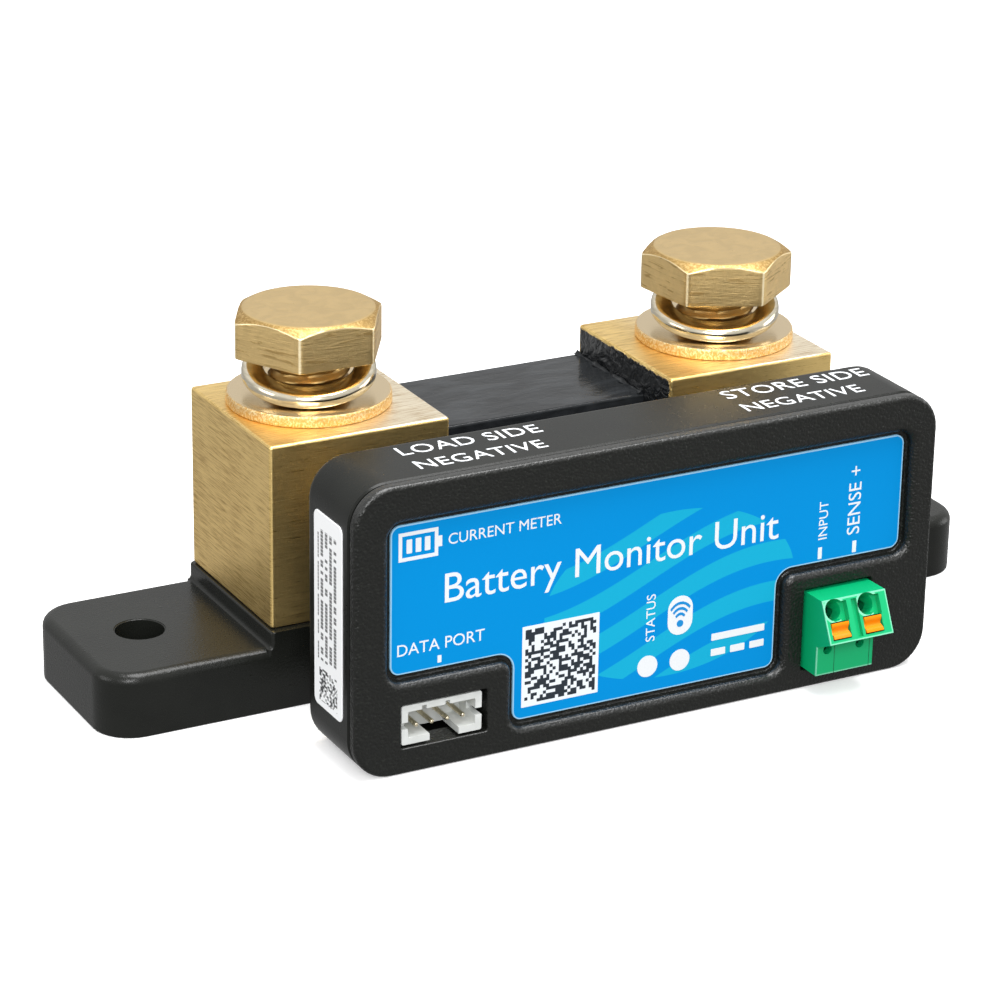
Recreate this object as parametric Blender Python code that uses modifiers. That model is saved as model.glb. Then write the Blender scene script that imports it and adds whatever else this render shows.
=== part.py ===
"""Battery monitor shunt: two brass terminal blocks joined by resistor plates on a plastic base,
with a small electronics case in front that measures the voltage across the plates.

Lengths are in millimetres and are scaled to metres as each mesh is made. X runs along the base,
Y points to the back and Z points up. The origin is the middle of the base's underside.
"""

import math

import bmesh
import bpy
from mathutils import Matrix, Vector

MM = 0.001
GAP = 0.3

# Mounting base
BASE_LENGTH = 120.0
BASE_DEPTH = 24.5
BASE_HEIGHT = 8.05
BASE_CORNER = 4.9
BASE_EDGE = 1.3
STEP_HEIGHT = 10.18
STEP_REACH = 39.3
STEP_FRONT = -12.0
STEP_BACK = 12.2
EAR_HOLE_X = 50.7
EAR_HOLE_RADIUS = 3.0
BRIDGE_REACH = 30.0
BRIDGE_HEIGHT = 5.0

# Terminal blocks and resistor plates
BLOCK_INNER = 15.2
BLOCK_OUTER = 38.65
BLOCK_FRONT = -11.25
BLOCK_BACK = 11.87
BLOCK_TOP = 33.22
BLOCK_EDGE = 0.35
PLATE_FRONT = -4.8
PLATE_TOP = 29.3
PLATE_THICKNESS = 2.0
PLATE_PITCH = 4.4
PLATE_COUNT = 4
PLATE_SEAT = 3.0
BLOCK_SCREW_SPOTS = ((33.9, -7.0), (21.4, 7.8))
BLOCK_SCREW_RADIUS = 1.8
BLOCK_SCREW_TIP = 17.5
BLOCK_SCREW_HEAD_RADIUS = 3.4
BLOCK_SCREW_HEAD = (0.5, 3.1)

# Terminal bolts and washers, M10
BOLT_AXES = {"left": (-27.7, 1.4), "right": (28.6, 0.9)}
BOLT_CORNER_ANGLES = {"left": -121.5, "right": -143.2}
BOLT_RADIUS = 4.85
BOLT_LENGTH = 25.0
BOLT_BORE_RADIUS = 5.2
HEAD_FLATS = 16.7
HEAD_UNDERSIDE = 39.7
HEAD_TOP = 45.1
HEAD_CHAMFER = 1.1
WASHER_RADIUS = 10.0
WASHER_HOLE_RADIUS = 5.3
WASHER_TOP = 34.7
SPRING_RADIUS = 6.75
SPRING_WIDTH = 2.7
SPRING_THICKNESS = 1.5
SPRING_LOW = 35.75
SPRING_HIGH = 38.6
SPRING_LOW_ANGLE = -118.5
SPRING_SPLIT = 5.0

# Electronics case
CASE_REACH = 38.9
CASE_TOP = 35.7
CASE_BACK = -21.4
CASE_SEAM = -32.8
CASE_FRONT = -34.4
CASE_CORNER = 4.75
CASE_EDGE = 1.4
CASE_WALL = 1.8
COVER_EDGE = 0.8
COVER_INSIDE = -31.3
LABEL_LEFT = -33.9
LABEL_RIGHT = 34.9
LABEL_BOTTOM = 3.3
LABEL_TOP = 30.45
LABEL_CORNER = 1.2
DATA_NOTCH = (-18.0, 12.1)
PLUG_NOTCH = (17.6, 15.8)
RECESS_MARGIN = 0.7
RECESS_FLOOR = -32.95
LABEL_SHEET = (-33.25, -33.05)
SIDE_LABEL_Y = (-31.3, -24.0)
SIDE_LABEL_Z = (6.4, 30.5)
SIDE_LABEL_SHEET = (0.15, 0.32)
LIGHTS = ((0.1, 6.7), (4.5, 6.7))
LIGHT_RADIUS = 1.15

# Circuit board
BOARD_REACH = 35.2
BOARD_Z = (2.6, 33.1)
BOARD_Y = (-27.3, -25.7)
CHIP_SEAT = BOARD_Y[0] - GAP
SENSE_X = 26.9
SENSE_Z = 22.0
SENSE_SCREW_RADIUS = 1.4
SENSE_SCREW_HEAD_RADIUS = 2.7
SENSE_SPACER_RADIUS = 3.0
SENSE_HOLE_DEPTH = 5.0

# Data socket
SOCKET_X = (-32.8, -22.5)
SOCKET_Z = (3.6, 8.5)
SOCKET_FRONT = -34.1
SOCKET_WALL = 0.7
SOCKET_PIN_PITCH = 2.0
SOCKET_PIN_SIDE = 0.5

# Terminal plug: the entry face slopes from its upper edge down to its foot
PLUG_X = (21.35, 30.3)
PLUG_FOOT_X = (21.35, 29.4)
PLUG_BACK = -34.1
PLUG_ENTRY_TOP = (-37.7, 12.75)
PLUG_ENTRY_FOOT = (-40.05, 7.95)
PLUG_FOOT_FRONT = -37.1
PLUG_FOOT_Z = (2.75, 6.5)
PLUG_NOSE_X = (21.35, 29.65)
PLUG_NOSE_Z = (4.3, 11.3)
PLUG_NOSE_END = -28.9
POLE_X = (22.9, 27.5)
POLE_SHIFT = 0.3
FUNNEL_RADIUS = 1.2
FUNNEL_DOWN = 1.25
LEVER_SPAN = (3.25, 4.65)
LEVER_HALF_WIDTH = 1.2
LEVER_LENGTH = 3.9
LEVER_GAP = 0.15
CAVITY_HALF_WIDTH = 1.45
CAVITY_Y = (-36.0, -28.2)
CAVITY_Z = (5.0, 10.6)
PIN_Z = 7.8
PIN_SIDE = 0.9

PARTS = "battery_monitor_shunt"
CUTTERS = "cutters"

FINISHES = {
    "black_plastic": ((0.018, 0.018, 0.020), 0.42, 0.0),
    "brass": ((0.62, 0.47, 0.22), 0.34, 1.0),
    "bolt_brass": ((0.66, 0.49, 0.20), 0.30, 1.0),
    "lacquer": ((0.012, 0.013, 0.016), 0.16, 0.0),
    "steel": ((0.58, 0.57, 0.55), 0.24, 1.0),
    "label_blue": ((0.0, 0.27, 0.72), 0.35, 0.0),
    "label_white": ((0.85, 0.85, 0.84), 0.5, 0.0),
    "socket_plastic": ((0.72, 0.70, 0.62), 0.45, 0.0),
    "pin_gold": ((0.80, 0.60, 0.28), 0.25, 1.0),
    "plug_green": ((0.0, 0.36, 0.13), 0.38, 0.0),
    "lever_orange": ((0.95, 0.38, 0.02), 0.35, 0.0),
    "board_green": ((0.02, 0.16, 0.07), 0.35, 0.0),
    "chip_black": ((0.02, 0.02, 0.02), 0.5, 0.0),
    "module_silver": ((0.66, 0.66, 0.65), 0.3, 1.0),
    "light_guide": ((0.85, 0.86, 0.84), 0.25, 0.0),
}


def clear_scene():
    """Remove every object of the scene, then make the two collections."""
    for obj in list(bpy.data.objects):
        bpy.data.objects.remove(obj, do_unlink=True)
    for name in (PARTS, CUTTERS):
        collection = bpy.data.collections.new(name)
        bpy.context.scene.collection.children.link(collection)


def finish(obj, name):
    """Give a piece a material of its own in one of the finishes."""
    colour, roughness, metallic = FINISHES[name]
    material = bpy.data.materials.new(obj.name + "_" + name)
    material.use_nodes = True
    shader = material.node_tree.nodes["Principled BSDF"]
    shader.inputs["Base Color"].default_value = (*colour, 1.0)
    shader.inputs["Roughness"].default_value = roughness
    shader.inputs["Metallic"].default_value = metallic
    obj.data.materials.clear()
    obj.data.materials.append(material)
    return obj


def add_object(name, mesh, location=(0.0, 0.0, 0.0)):
    """Put a mesh in the parts collection, at a place given in millimetres."""
    obj = bpy.data.objects.new(name, mesh)
    obj.location = [value * MM for value in location]
    bpy.data.collections[PARTS].objects.link(obj)
    return obj


def from_bmesh(name, bm, location=(0.0, 0.0, 0.0)):
    """Turn a bmesh into an object."""
    mesh = bpy.data.meshes.new(name)
    bm.to_mesh(mesh)
    bm.free()
    return add_object(name, mesh, location)


def shade_round(obj, angle=35.0):
    """Shade a piece smooth, apart from edges sharper than the angle."""
    obj.data.shade_smooth()
    obj.data.set_sharp_from_angle(angle=math.radians(angle))
    return obj


def box(name, low, high):
    """A box between two corners."""
    bm = bmesh.new()
    bmesh.ops.create_cube(bm, size=1.0)
    size = [(b - a) * MM for a, b in zip(low, high)]
    bmesh.ops.scale(bm, vec=size, verts=bm.verts)
    return from_bmesh(name, bm, [(a + b) / 2 for a, b in zip(low, high)])


def rod(name, radius, start, end, sides=24):
    """A bar of round or many-sided section from one point to another."""
    along = Vector(end) - Vector(start)
    bm = bmesh.new()
    bmesh.ops.create_cone(
        bm, cap_ends=True, segments=sides, radius1=radius * MM, radius2=radius * MM, depth=along.length * MM
    )
    turn = Vector((0.0, 0.0, 1.0)).rotation_difference(along).to_matrix()
    bmesh.ops.rotate(bm, matrix=turn, verts=bm.verts)
    return shade_round(from_bmesh(name, bm, (Vector(start) + Vector(end)) / 2))


def turned(name, profile, location, steps=32, ring=False):
    """A profile of (radius, height) points, listed down its outer side, turned about Z."""
    points = [(radius * MM, 0.0, height * MM) for radius, height in profile]
    edges = [(i, i + 1) for i in range(len(points) - 1)]
    if ring:
        edges.append((len(points) - 1, 0))
    mesh = bpy.data.meshes.new(name)
    mesh.from_pydata(points, edges, [])
    obj = add_object(name, mesh, location)
    screw = obj.modifiers.new("Turn", "SCREW")
    screw.steps = steps
    screw.render_steps = steps
    screw.use_merge_vertices = True
    screw.merge_threshold = 0.00001
    screw.use_smooth_shade = False
    return obj


def rounded(corners, radius, steps=5):
    """An outline with each corner replaced by an arc of the radius."""
    outline = []
    for i, corner in enumerate(corners):
        here = Vector(corner)
        back = (Vector(corners[i - 1]) - here).normalized()
        ahead = (Vector(corners[(i + 1) % len(corners)]) - here).normalized()
        half = back.angle(ahead) / 2
        centre = here + (back + ahead).normalized() * radius / math.sin(half)
        start = here + back * radius / math.tan(half) - centre
        sweep = start.angle_signed(here + ahead * radius / math.tan(half) - centre)
        for step in range(steps + 1):
            outline.append(centre + Matrix.Rotation(-sweep * step / steps, 2) @ start)
    return outline


def rectangle(low, high):
    """The four corners of a rectangle, anticlockwise."""
    return [(low[0], low[1]), (high[0], low[1]), (high[0], high[1]), (low[0], high[1])]


def extruded(name, outline, span, axis="Z"):
    """A flat outline given thickness along an axis, between the two levels of the span.

    The outline's two numbers are X and Y for axis Z, X and Z for axis Y, and Y and Z for axis X.
    """
    curve = bpy.data.curves.new(name, "CURVE")
    curve.dimensions = "2D"
    curve.fill_mode = "BOTH"
    curve.extrude = (span[1] - span[0]) / 2 * MM
    spline = curve.splines.new("POLY")
    spline.points.add(len(outline) - 1)
    for point, (u, v) in zip(spline.points, outline):
        point.co = (u * MM, v * MM, 0.0, 1.0)
    spline.use_cyclic_u = True
    drawn = bpy.data.objects.new(name + "_outline", curve)
    bpy.data.collections[PARTS].objects.link(drawn)
    graph = bpy.context.evaluated_depsgraph_get()
    mesh = bpy.data.meshes.new_from_object(drawn.evaluated_get(graph))
    bpy.data.objects.remove(drawn, do_unlink=True)
    bm = bmesh.new()
    bm.from_mesh(mesh)
    bmesh.ops.remove_doubles(bm, verts=bm.verts, dist=0.000001)
    bmesh.ops.dissolve_limit(bm, angle_limit=0.001, verts=bm.verts, edges=bm.edges)
    middle = (span[0] + span[1]) / 2
    place = {"X": (middle, 0.0, 0.0), "Y": (0.0, middle, 0.0), "Z": (0.0, 0.0, middle)}[axis]
    turns = {
        "X": Matrix(((0, 0, 1), (1, 0, 0), (0, 1, 0))),
        "Y": Matrix(((1, 0, 0), (0, 0, -1), (0, 1, 0))),
        "Z": Matrix.Identity(3),
    }
    bmesh.ops.transform(bm, matrix=turns[axis].to_4x4(), verts=bm.verts)
    bmesh.ops.recalc_face_normals(bm, faces=bm.faces)
    bpy.data.meshes.remove(mesh)
    return from_bmesh(name, bm, place)


def round_edges(obj, width, segments=3, angle=40.0):
    """Round the edges that are sharper than the angle."""
    bevel = obj.modifiers.new("Edges", "BEVEL")
    bevel.width = width * MM
    bevel.segments = segments
    bevel.limit_method = "ANGLE"
    bevel.angle_limit = math.radians(angle)
    return obj


def combine(obj, other, operation):
    """Apply a second shape to a piece by a Boolean, and keep that shape as a hidden helper."""
    step = obj.modifiers.new(other.name, "BOOLEAN")
    step.operation = operation
    step.object = other
    bpy.data.collections[PARTS].objects.unlink(other)
    bpy.data.collections[CUTTERS].objects.link(other)
    other.hide_render = True
    other.display_type = "WIRE"
    return obj


def cut(obj, *cutters):
    """Cut each of the shapes away from a piece."""
    for cutter in cutters:
        combine(obj, cutter, "DIFFERENCE")
    return obj


def add(obj, *shapes):
    """Join each of the shapes to a piece."""
    for shape in shapes:
        combine(obj, shape, "UNION")
    return obj


def guide(name, location, pieces):
    """An empty on a moving group's axis, with the group's pieces as its children."""
    empty = bpy.data.objects.new(name, None)
    empty.location = [value * MM for value in location]
    empty.empty_display_size = 5 * MM
    bpy.data.collections[PARTS].objects.link(empty)
    for piece in pieces:
        piece.parent = empty
        piece.matrix_parent_inverse = Matrix.Translation(empty.location).inverted()


# Base, blocks and plates ---------------------------------------------------------------------


def make_base():
    """The plastic base: a long plate with ears, a step under the blocks and a low bridge forward."""
    half = BASE_LENGTH / 2
    ends = rectangle((-half, -BASE_DEPTH / 2), (half, BASE_DEPTH / 2))
    base = extruded("mounting_base", rounded(ends, BASE_CORNER), (-4.0, BASE_HEIGHT))
    round_edges(base, BASE_EDGE)
    step = extruded(
        "base_step",
        rounded(rectangle((-STEP_REACH, STEP_FRONT), (STEP_REACH, STEP_BACK)), 0.8, 2),
        (BASE_HEIGHT - 2, STEP_HEIGHT),
    )
    bridge = box("base_bridge", (-BRIDGE_REACH, CASE_BACK + GAP, 0.0), (BRIDGE_REACH, -9.0, BRIDGE_HEIGHT))
    below = box("below_base", (-half - 5, -30, -9), (half + 5, 30, 0))
    add(base, step)
    cut(base, below)
    add(base, bridge)
    for side in (-1, 1):
        x = side * EAR_HOLE_X
        cut(base, rod(f"ear_hole_{side}", EAR_HOLE_RADIUS, (x, 0.2, -2), (x, 0.2, BASE_HEIGHT + 2), 32))
        for number, (along, across) in enumerate(BLOCK_SCREW_SPOTS):
            x = side * along
            name = f"screw_hole_{side}_{number}"
            head = rod(name + "_head", BLOCK_SCREW_HEAD_RADIUS + GAP, (x, across, -2), (x, across, 3.4))
            shank = rod(name, BLOCK_SCREW_RADIUS + GAP, (x, across, -1), (x, across, STEP_HEIGHT + 2))
            cut(base, head, shank)
    return finish(base, "black_plastic")


def plate_levels():
    """Upper and lower level of each resistor plate, from the top one down."""
    tops = [PLATE_TOP - PLATE_PITCH * number for number in range(PLATE_COUNT)]
    return [(top - PLATE_THICKNESS, top) for top in tops]


def make_block(side, sign):
    """One brass terminal block, with its bolt hole, plate slots, screw holes and sense hole."""
    ends = sorted((sign * BLOCK_INNER, sign * BLOCK_OUTER))
    block = box(
        f"{side}_terminal_block",
        (ends[0], BLOCK_FRONT, STEP_HEIGHT + GAP),
        (ends[1], BLOCK_BACK, BLOCK_TOP),
    )
    round_edges(block, BLOCK_EDGE, 1)
    x, y = BOLT_AXES[side]
    cut(block, rod(f"{side}_bolt_hole", BOLT_BORE_RADIUS, (x, y, 12.5), (x, y, BLOCK_TOP + 3), 32))
    reach = sorted((sign * (BLOCK_INNER - 2), sign * (BLOCK_INNER + PLATE_SEAT + GAP)))
    for number, (low, high) in enumerate(plate_levels()):
        slot = box(
            f"{side}_slot_{number}",
            (reach[0], PLATE_FRONT - GAP, low - GAP),
            (reach[1], BLOCK_BACK + 3, high + GAP),
        )
        cut(block, slot)
    for number, (along, across) in enumerate(BLOCK_SCREW_SPOTS):
        start = (sign * along, across, STEP_HEIGHT - 2)
        end = (sign * along, across, BLOCK_SCREW_TIP + 1)
        cut(block, rod(f"{side}_thread_{number}", BLOCK_SCREW_RADIUS + GAP, start, end, 16))
    sense = (sign * SENSE_X, BLOCK_FRONT - 2, SENSE_Z)
    sense_end = (sign * SENSE_X, BLOCK_FRONT + SENSE_HOLE_DEPTH, SENSE_Z)
    cut(block, rod(f"{side}_sense_hole", SENSE_SCREW_RADIUS + GAP, sense, sense_end, 16))
    return finish(block, "brass")


def make_plates():
    """The resistor plates, one above the other, with their ends seated in the blocks' slots."""
    reach = BLOCK_INNER + PLATE_SEAT
    for number, (low, high) in enumerate(plate_levels(), 1):
        plate = box(f"resistor_plate_{number}", (-reach, PLATE_FRONT, low), (reach, BLOCK_BACK, high))
        finish(round_edges(plate, 0.2, 1), "lacquer")


def make_block_screws():
    """The screws that hold each block down, put in from under the base."""
    low, high = BLOCK_SCREW_HEAD
    profile = [
        (0.0, BLOCK_SCREW_TIP),
        (BLOCK_SCREW_RADIUS - 0.4, BLOCK_SCREW_TIP),
        (BLOCK_SCREW_RADIUS, BLOCK_SCREW_TIP - 0.6),
        (BLOCK_SCREW_RADIUS, high),
        (BLOCK_SCREW_HEAD_RADIUS, high),
        (BLOCK_SCREW_HEAD_RADIUS, low + 0.5),
        (BLOCK_SCREW_HEAD_RADIUS - 0.5, low),
        (0.0, low),
    ]
    number = 1
    for sign in (-1, 1):
        for along, across in BLOCK_SCREW_SPOTS:
            screw = turned(f"block_screw_{number}", profile, (sign * along, across, 0.0), 16)
            finish(screw, "steel")
            number += 1


# Bolts and washers -----------------------------------------------------------------------------


def make_bolt(side):
    """A hexagon bolt with a chamfered head, its axis on its own origin."""
    x, y = BOLT_AXES[side]
    corner = HEAD_FLATS / math.sqrt(3)
    bm = bmesh.new()
    bmesh.ops.create_cone(
        bm,
        cap_ends=True,
        segments=6,
        radius1=corner * MM,
        radius2=corner * MM,
        depth=(HEAD_TOP - HEAD_UNDERSIDE) * MM,
    )
    angle = math.radians(BOLT_CORNER_ANGLES[side])
    bmesh.ops.rotate(bm, matrix=Matrix.Rotation(angle - math.pi / 2, 3, "Z"), verts=bm.verts)
    bmesh.ops.translate(bm, vec=(0.0, 0.0, (HEAD_TOP + HEAD_UNDERSIDE) / 2 * MM), verts=bm.verts)
    bolt = from_bmesh(f"{side}_bolt", bm, (x, y, 0.0))
    flat = HEAD_FLATS / 2 - 0.4
    outer = corner + 0.2
    crown = turned(
        f"{side}_bolt_crown",
        [
            (0.0, HEAD_TOP),
            (flat, HEAD_TOP),
            (outer, HEAD_TOP - (outer - flat) * math.tan(math.radians(30))),
            (outer, HEAD_UNDERSIDE - 2),
            (0.0, HEAD_UNDERSIDE - 2),
        ],
        (x, y, 0.0),
        48,
    )
    combine(bolt, crown, "INTERSECT")
    tip = HEAD_UNDERSIDE - BOLT_LENGTH
    shank = turned(
        f"{side}_bolt_shank",
        [
            (0.0, HEAD_UNDERSIDE + 1),
            (BOLT_RADIUS, HEAD_UNDERSIDE + 1),
            (BOLT_RADIUS, tip + 1.2),
            (BOLT_RADIUS - 1.2, tip),
            (0.0, tip),
        ],
        (x, y, 0.0),
        32,
    )
    add(bolt, shank)
    return finish(bolt, "bolt_brass")


def make_flat_washer(side):
    """The flat washer that rests on the block."""
    x, y = BOLT_AXES[side]
    low = BLOCK_TOP + GAP
    profile = [
        (WASHER_HOLE_RADIUS, WASHER_TOP),
        (WASHER_RADIUS - 0.25, WASHER_TOP),
        (WASHER_RADIUS, WASHER_TOP - 0.25),
        (WASHER_RADIUS, low),
        (WASHER_HOLE_RADIUS, low),
    ]
    return finish(turned(f"{side}_flat_washer", profile, (x, y, 0.0), 48, ring=True), "bolt_brass")


def make_spring_washer(side):
    """The split spring washer, tilted between the flat washer and the bolt head.

    Its centre line is a circle whose height rises as (1 - cos t) / 2 from the low side.
    """
    x, y = BOLT_AXES[side]
    section = bpy.data.curves.new(f"{side}_spring_section", "CURVE")
    section.dimensions = "2D"
    outline = section.splines.new("POLY")
    outline.points.add(3)
    corners = rectangle(
        (-SPRING_WIDTH / 2, -SPRING_THICKNESS / 2),
        (SPRING_WIDTH / 2, SPRING_THICKNESS / 2),
    )
    for point, (u, v) in zip(outline.points, reversed(corners)):
        point.co = (u * MM, v * MM, 0.0, 1.0)
    outline.use_cyclic_u = True
    holder = bpy.data.objects.new(f"{side}_spring_section", section)
    bpy.data.collections[CUTTERS].objects.link(holder)
    holder.hide_render = True
    curve = bpy.data.curves.new(f"{side}_spring_washer", "CURVE")
    curve.dimensions = "3D"
    curve.twist_mode = "Z_UP"
    curve.bevel_mode = "OBJECT"
    curve.bevel_object = holder
    curve.use_fill_caps = True
    steps = 40
    path = curve.splines.new("POLY")
    path.points.add(steps)
    opening = math.radians(SPRING_SPLIT)
    for number, point in enumerate(path.points):
        turn = -math.pi + opening + (2 * math.pi - 2 * opening) * number / steps
        angle = math.radians(SPRING_LOW_ANGLE) + turn
        rise = (SPRING_HIGH - SPRING_LOW) * (1 - math.cos(turn)) / 2
        place = (SPRING_RADIUS * math.cos(angle), SPRING_RADIUS * math.sin(angle), SPRING_LOW + rise)
        point.co = (*[value * MM for value in place], 1.0)
    washer = bpy.data.objects.new(f"{side}_spring_washer", curve)
    washer.location = (x * MM, y * MM, 0.0)
    bpy.data.collections[PARTS].objects.link(washer)
    return finish(washer, "steel")


# Electronics case -------------------------------------------------------------------------------


def case_outline(inset):
    """The case's front outline, moved inwards by the inset."""
    low = (-CASE_REACH + inset, inset)
    high = (CASE_REACH - inset, CASE_TOP - inset)
    return rounded(rectangle(low, high), CASE_CORNER - inset)


def label_outline(margin, radius):
    """The label's outline with its two lower corners cut out, moved outwards by the margin."""
    left = LABEL_LEFT - margin
    right = LABEL_RIGHT + margin
    bottom = LABEL_BOTTOM - margin
    top = LABEL_TOP + margin
    data_x, data_z = DATA_NOTCH[0] - margin, DATA_NOTCH[1] - margin
    plug_x, plug_z = PLUG_NOTCH[0] + margin, PLUG_NOTCH[1] - margin
    corners = [
        (left, data_z),
        (data_x, data_z),
        (data_x, bottom),
        (plug_x, bottom),
        (plug_x, plug_z),
        (right, plug_z),
        (right, top),
        (left, top),
    ]
    return rounded(corners, radius, 4)


def make_rear_case():
    """The rear half of the case: a tray open to the front."""
    tray = extruded("rear_case", case_outline(0.0), (CASE_FRONT - 4, CASE_BACK), "Y")
    round_edges(tray, CASE_EDGE)
    seam = CASE_SEAM + GAP / 2
    front = box("ahead_of_seam", (-50, CASE_FRONT - 9, -9), (50, seam, 50))
    hollow = extruded("case_hollow", case_outline(CASE_WALL), (CASE_FRONT - 9, CASE_BACK - CASE_WALL), "Y")
    cut(tray, front, hollow)
    for sign in (-1, 1):
        start = (sign * SENSE_X, CASE_BACK - 4, SENSE_Z)
        end = (sign * SENSE_X, CASE_BACK + 2, SENSE_Z)
        cut(tray, rod(f"case_sense_hole_{sign}", SENSE_SPACER_RADIUS + GAP, start, end))
    return finish(tray, "black_plastic")


def make_front_cover():
    """The front half: a shallow cover with a sunk label field and windows for its sockets."""
    cover = extruded("front_cover", case_outline(0.0), (CASE_FRONT, CASE_BACK), "Y")
    round_edges(cover, COVER_EDGE)
    behind = box("behind_seam", (-50, CASE_SEAM - GAP / 2, -9), (50, CASE_BACK + 9, 50))
    cut(cover, behind)
    lip = extruded("cover_lip", case_outline(CASE_WALL + GAP), (-33.6, COVER_INSIDE), "Y")
    add(cover, lip)
    recess = extruded("label_recess", label_outline(RECESS_MARGIN, LABEL_CORNER), (CASE_FRONT - 3, RECESS_FLOOR), "Y")
    cut(cover, recess)
    socket_window = box(
        "socket_window",
        (SOCKET_X[0] - GAP, CASE_FRONT - 3, SOCKET_Z[0] - GAP),
        (SOCKET_X[1] + GAP, COVER_INSIDE + 3, SOCKET_Z[1] + GAP),
    )
    plug_window = box(
        "plug_window",
        (PLUG_X[0] - GAP, CASE_FRONT - 3, PLUG_FOOT_Z[0] - GAP),
        (PLUG_X[1] + GAP, COVER_INSIDE + 3, PLUG_ENTRY_TOP[1] + GAP),
    )
    cut(cover, socket_window, plug_window)
    for number, (x, z) in enumerate(LIGHTS):
        start = (x, CASE_FRONT - 2, z)
        end = (x, COVER_INSIDE + 2, z)
        cut(cover, rod(f"light_hole_{number}", LIGHT_RADIUS + GAP, start, end))
    return finish(cover, "black_plastic")


def make_labels():
    """The printed front label and the narrow white label on the case's end."""
    front = extruded("front_label", label_outline(0.0, LABEL_CORNER - 0.2), LABEL_SHEET, "Y")
    finish(front, "label_blue")
    sheet = (-CASE_REACH - SIDE_LABEL_SHEET[1], -CASE_REACH - SIDE_LABEL_SHEET[0])
    low, high = zip(SIDE_LABEL_Y, SIDE_LABEL_Z)
    side = extruded("side_label", rounded(rectangle(low, high), 0.8, 4), sheet, "X")
    finish(side, "label_white")


# Circuit board ----------------------------------------------------------------------------------


def socket_pins():
    """Middle of each pin of the data socket, along X."""
    middle = sum(SOCKET_X) / 2
    return [middle + SOCKET_PIN_PITCH * (number - 1.5) for number in range(4)]


def plug_pins():
    """Middle of each pin of the plug header, along X."""
    return [x + POLE_SHIFT for x in POLE_X]


def make_board():
    """The circuit board, with holes for the sense screws and for the pins."""
    ends = rectangle((-BOARD_REACH, BOARD_Z[0]), (BOARD_REACH, BOARD_Z[1]))
    board = extruded("circuit_board", rounded(ends, 1.5, 3), BOARD_Y, "Y")
    holes = [(sign * SENSE_X, SENSE_Z, SENSE_SCREW_RADIUS + GAP) for sign in (-1, 1)]
    holes += [(x, sum(SOCKET_Z) / 2, 0.65) for x in socket_pins()]
    holes += [(x, PIN_Z, 0.95) for x in plug_pins()]
    for number, (x, z, radius) in enumerate(holes):
        start = (x, BOARD_Y[0] - 1, z)
        end = (x, BOARD_Y[1] + 1, z)
        cut(board, rod(f"board_hole_{number}", radius, start, end, 12))
    return finish(board, "board_green")


def make_components():
    """The pieces soldered to the board's front: radio, chips, supply parts and status lights."""
    pieces = (
        ("radio_module", (-17.0, 20.0), (-3.0, 31.0), 2.0, "module_silver"),
        ("processor_chip", (2.0, 21.5), (9.0, 28.5), 1.0, "chip_black"),
        ("amplifier_chip", (-14.0, 11.5), (-10.0, 16.5), 1.2, "chip_black"),
        ("power_inductor", (12.0, 11.0), (17.0, 16.0), 2.6, "chip_black"),
        ("supply_capacitor_1", (8.5, 11.5), (10.5, 14.5), 1.5, "module_silver"),
        ("supply_capacitor_2", (5.0, 11.5), (7.0, 14.5), 1.5, "module_silver"),
    )
    for name, low, high, height, look in pieces:
        piece = box(name, (low[0], CHIP_SEAT - height, low[1]), (high[0], CHIP_SEAT, high[1]))
        finish(round_edges(piece, 0.25, 1), look)
    for number, (x, z) in enumerate(LIGHTS, 1):
        lamp = box(f"status_led_{number}", (x - 0.8, CHIP_SEAT - 0.8, z - 0.5), (x + 0.8, CHIP_SEAT, z + 0.5))
        finish(lamp, "light_guide")
        start = (x, LABEL_SHEET[1] + 0.1, z)
        end = (x, CHIP_SEAT - 0.8 - GAP, z)
        finish(rod(f"light_guide_{number}", LIGHT_RADIUS, start, end), "light_guide")


def make_sense_contacts():
    """The spacers and screws that carry the two block voltages to the board."""
    head = SENSE_SCREW_HEAD_RADIUS
    for number, sign in enumerate((-1, 1), 1):
        x = sign * SENSE_X
        start = (x, BOARD_Y[1] + GAP, SENSE_Z)
        end = (x, BLOCK_FRONT - GAP, SENSE_Z)
        spacer = rod(f"sense_spacer_{number}", SENSE_SPACER_RADIUS, start, end)
        start = (x, BOARD_Y[1] - 2, SENSE_Z)
        end = (x, BLOCK_FRONT + 2, SENSE_Z)
        cut(spacer, rod(f"spacer_bore_{number}", SENSE_SCREW_RADIUS + GAP, start, end, 16))
        finish(spacer, "brass")
        tip = BLOCK_FRONT + SENSE_HOLE_DEPTH - GAP
        screw = rod(f"sense_screw_{number}", SENSE_SCREW_RADIUS, (x, CHIP_SEAT - 0.5, SENSE_Z), (x, tip, SENSE_Z), 16)
        cap = rod(f"sense_head_{number}", head, (x, CHIP_SEAT - 1.9, SENSE_Z), (x, CHIP_SEAT, SENSE_Z))
        add(screw, cap)
        for turn, size in enumerate(((1.6, 0.25), (0.25, 1.6))):
            cross = box(
                f"sense_cross_{number}_{turn}",
                (x - size[0], CHIP_SEAT - 3, SENSE_Z - size[1]),
                (x + size[0], CHIP_SEAT - 1.1, SENSE_Z + size[1]),
            )
            cut(screw, cross)
        finish(screw, "steel")


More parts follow.
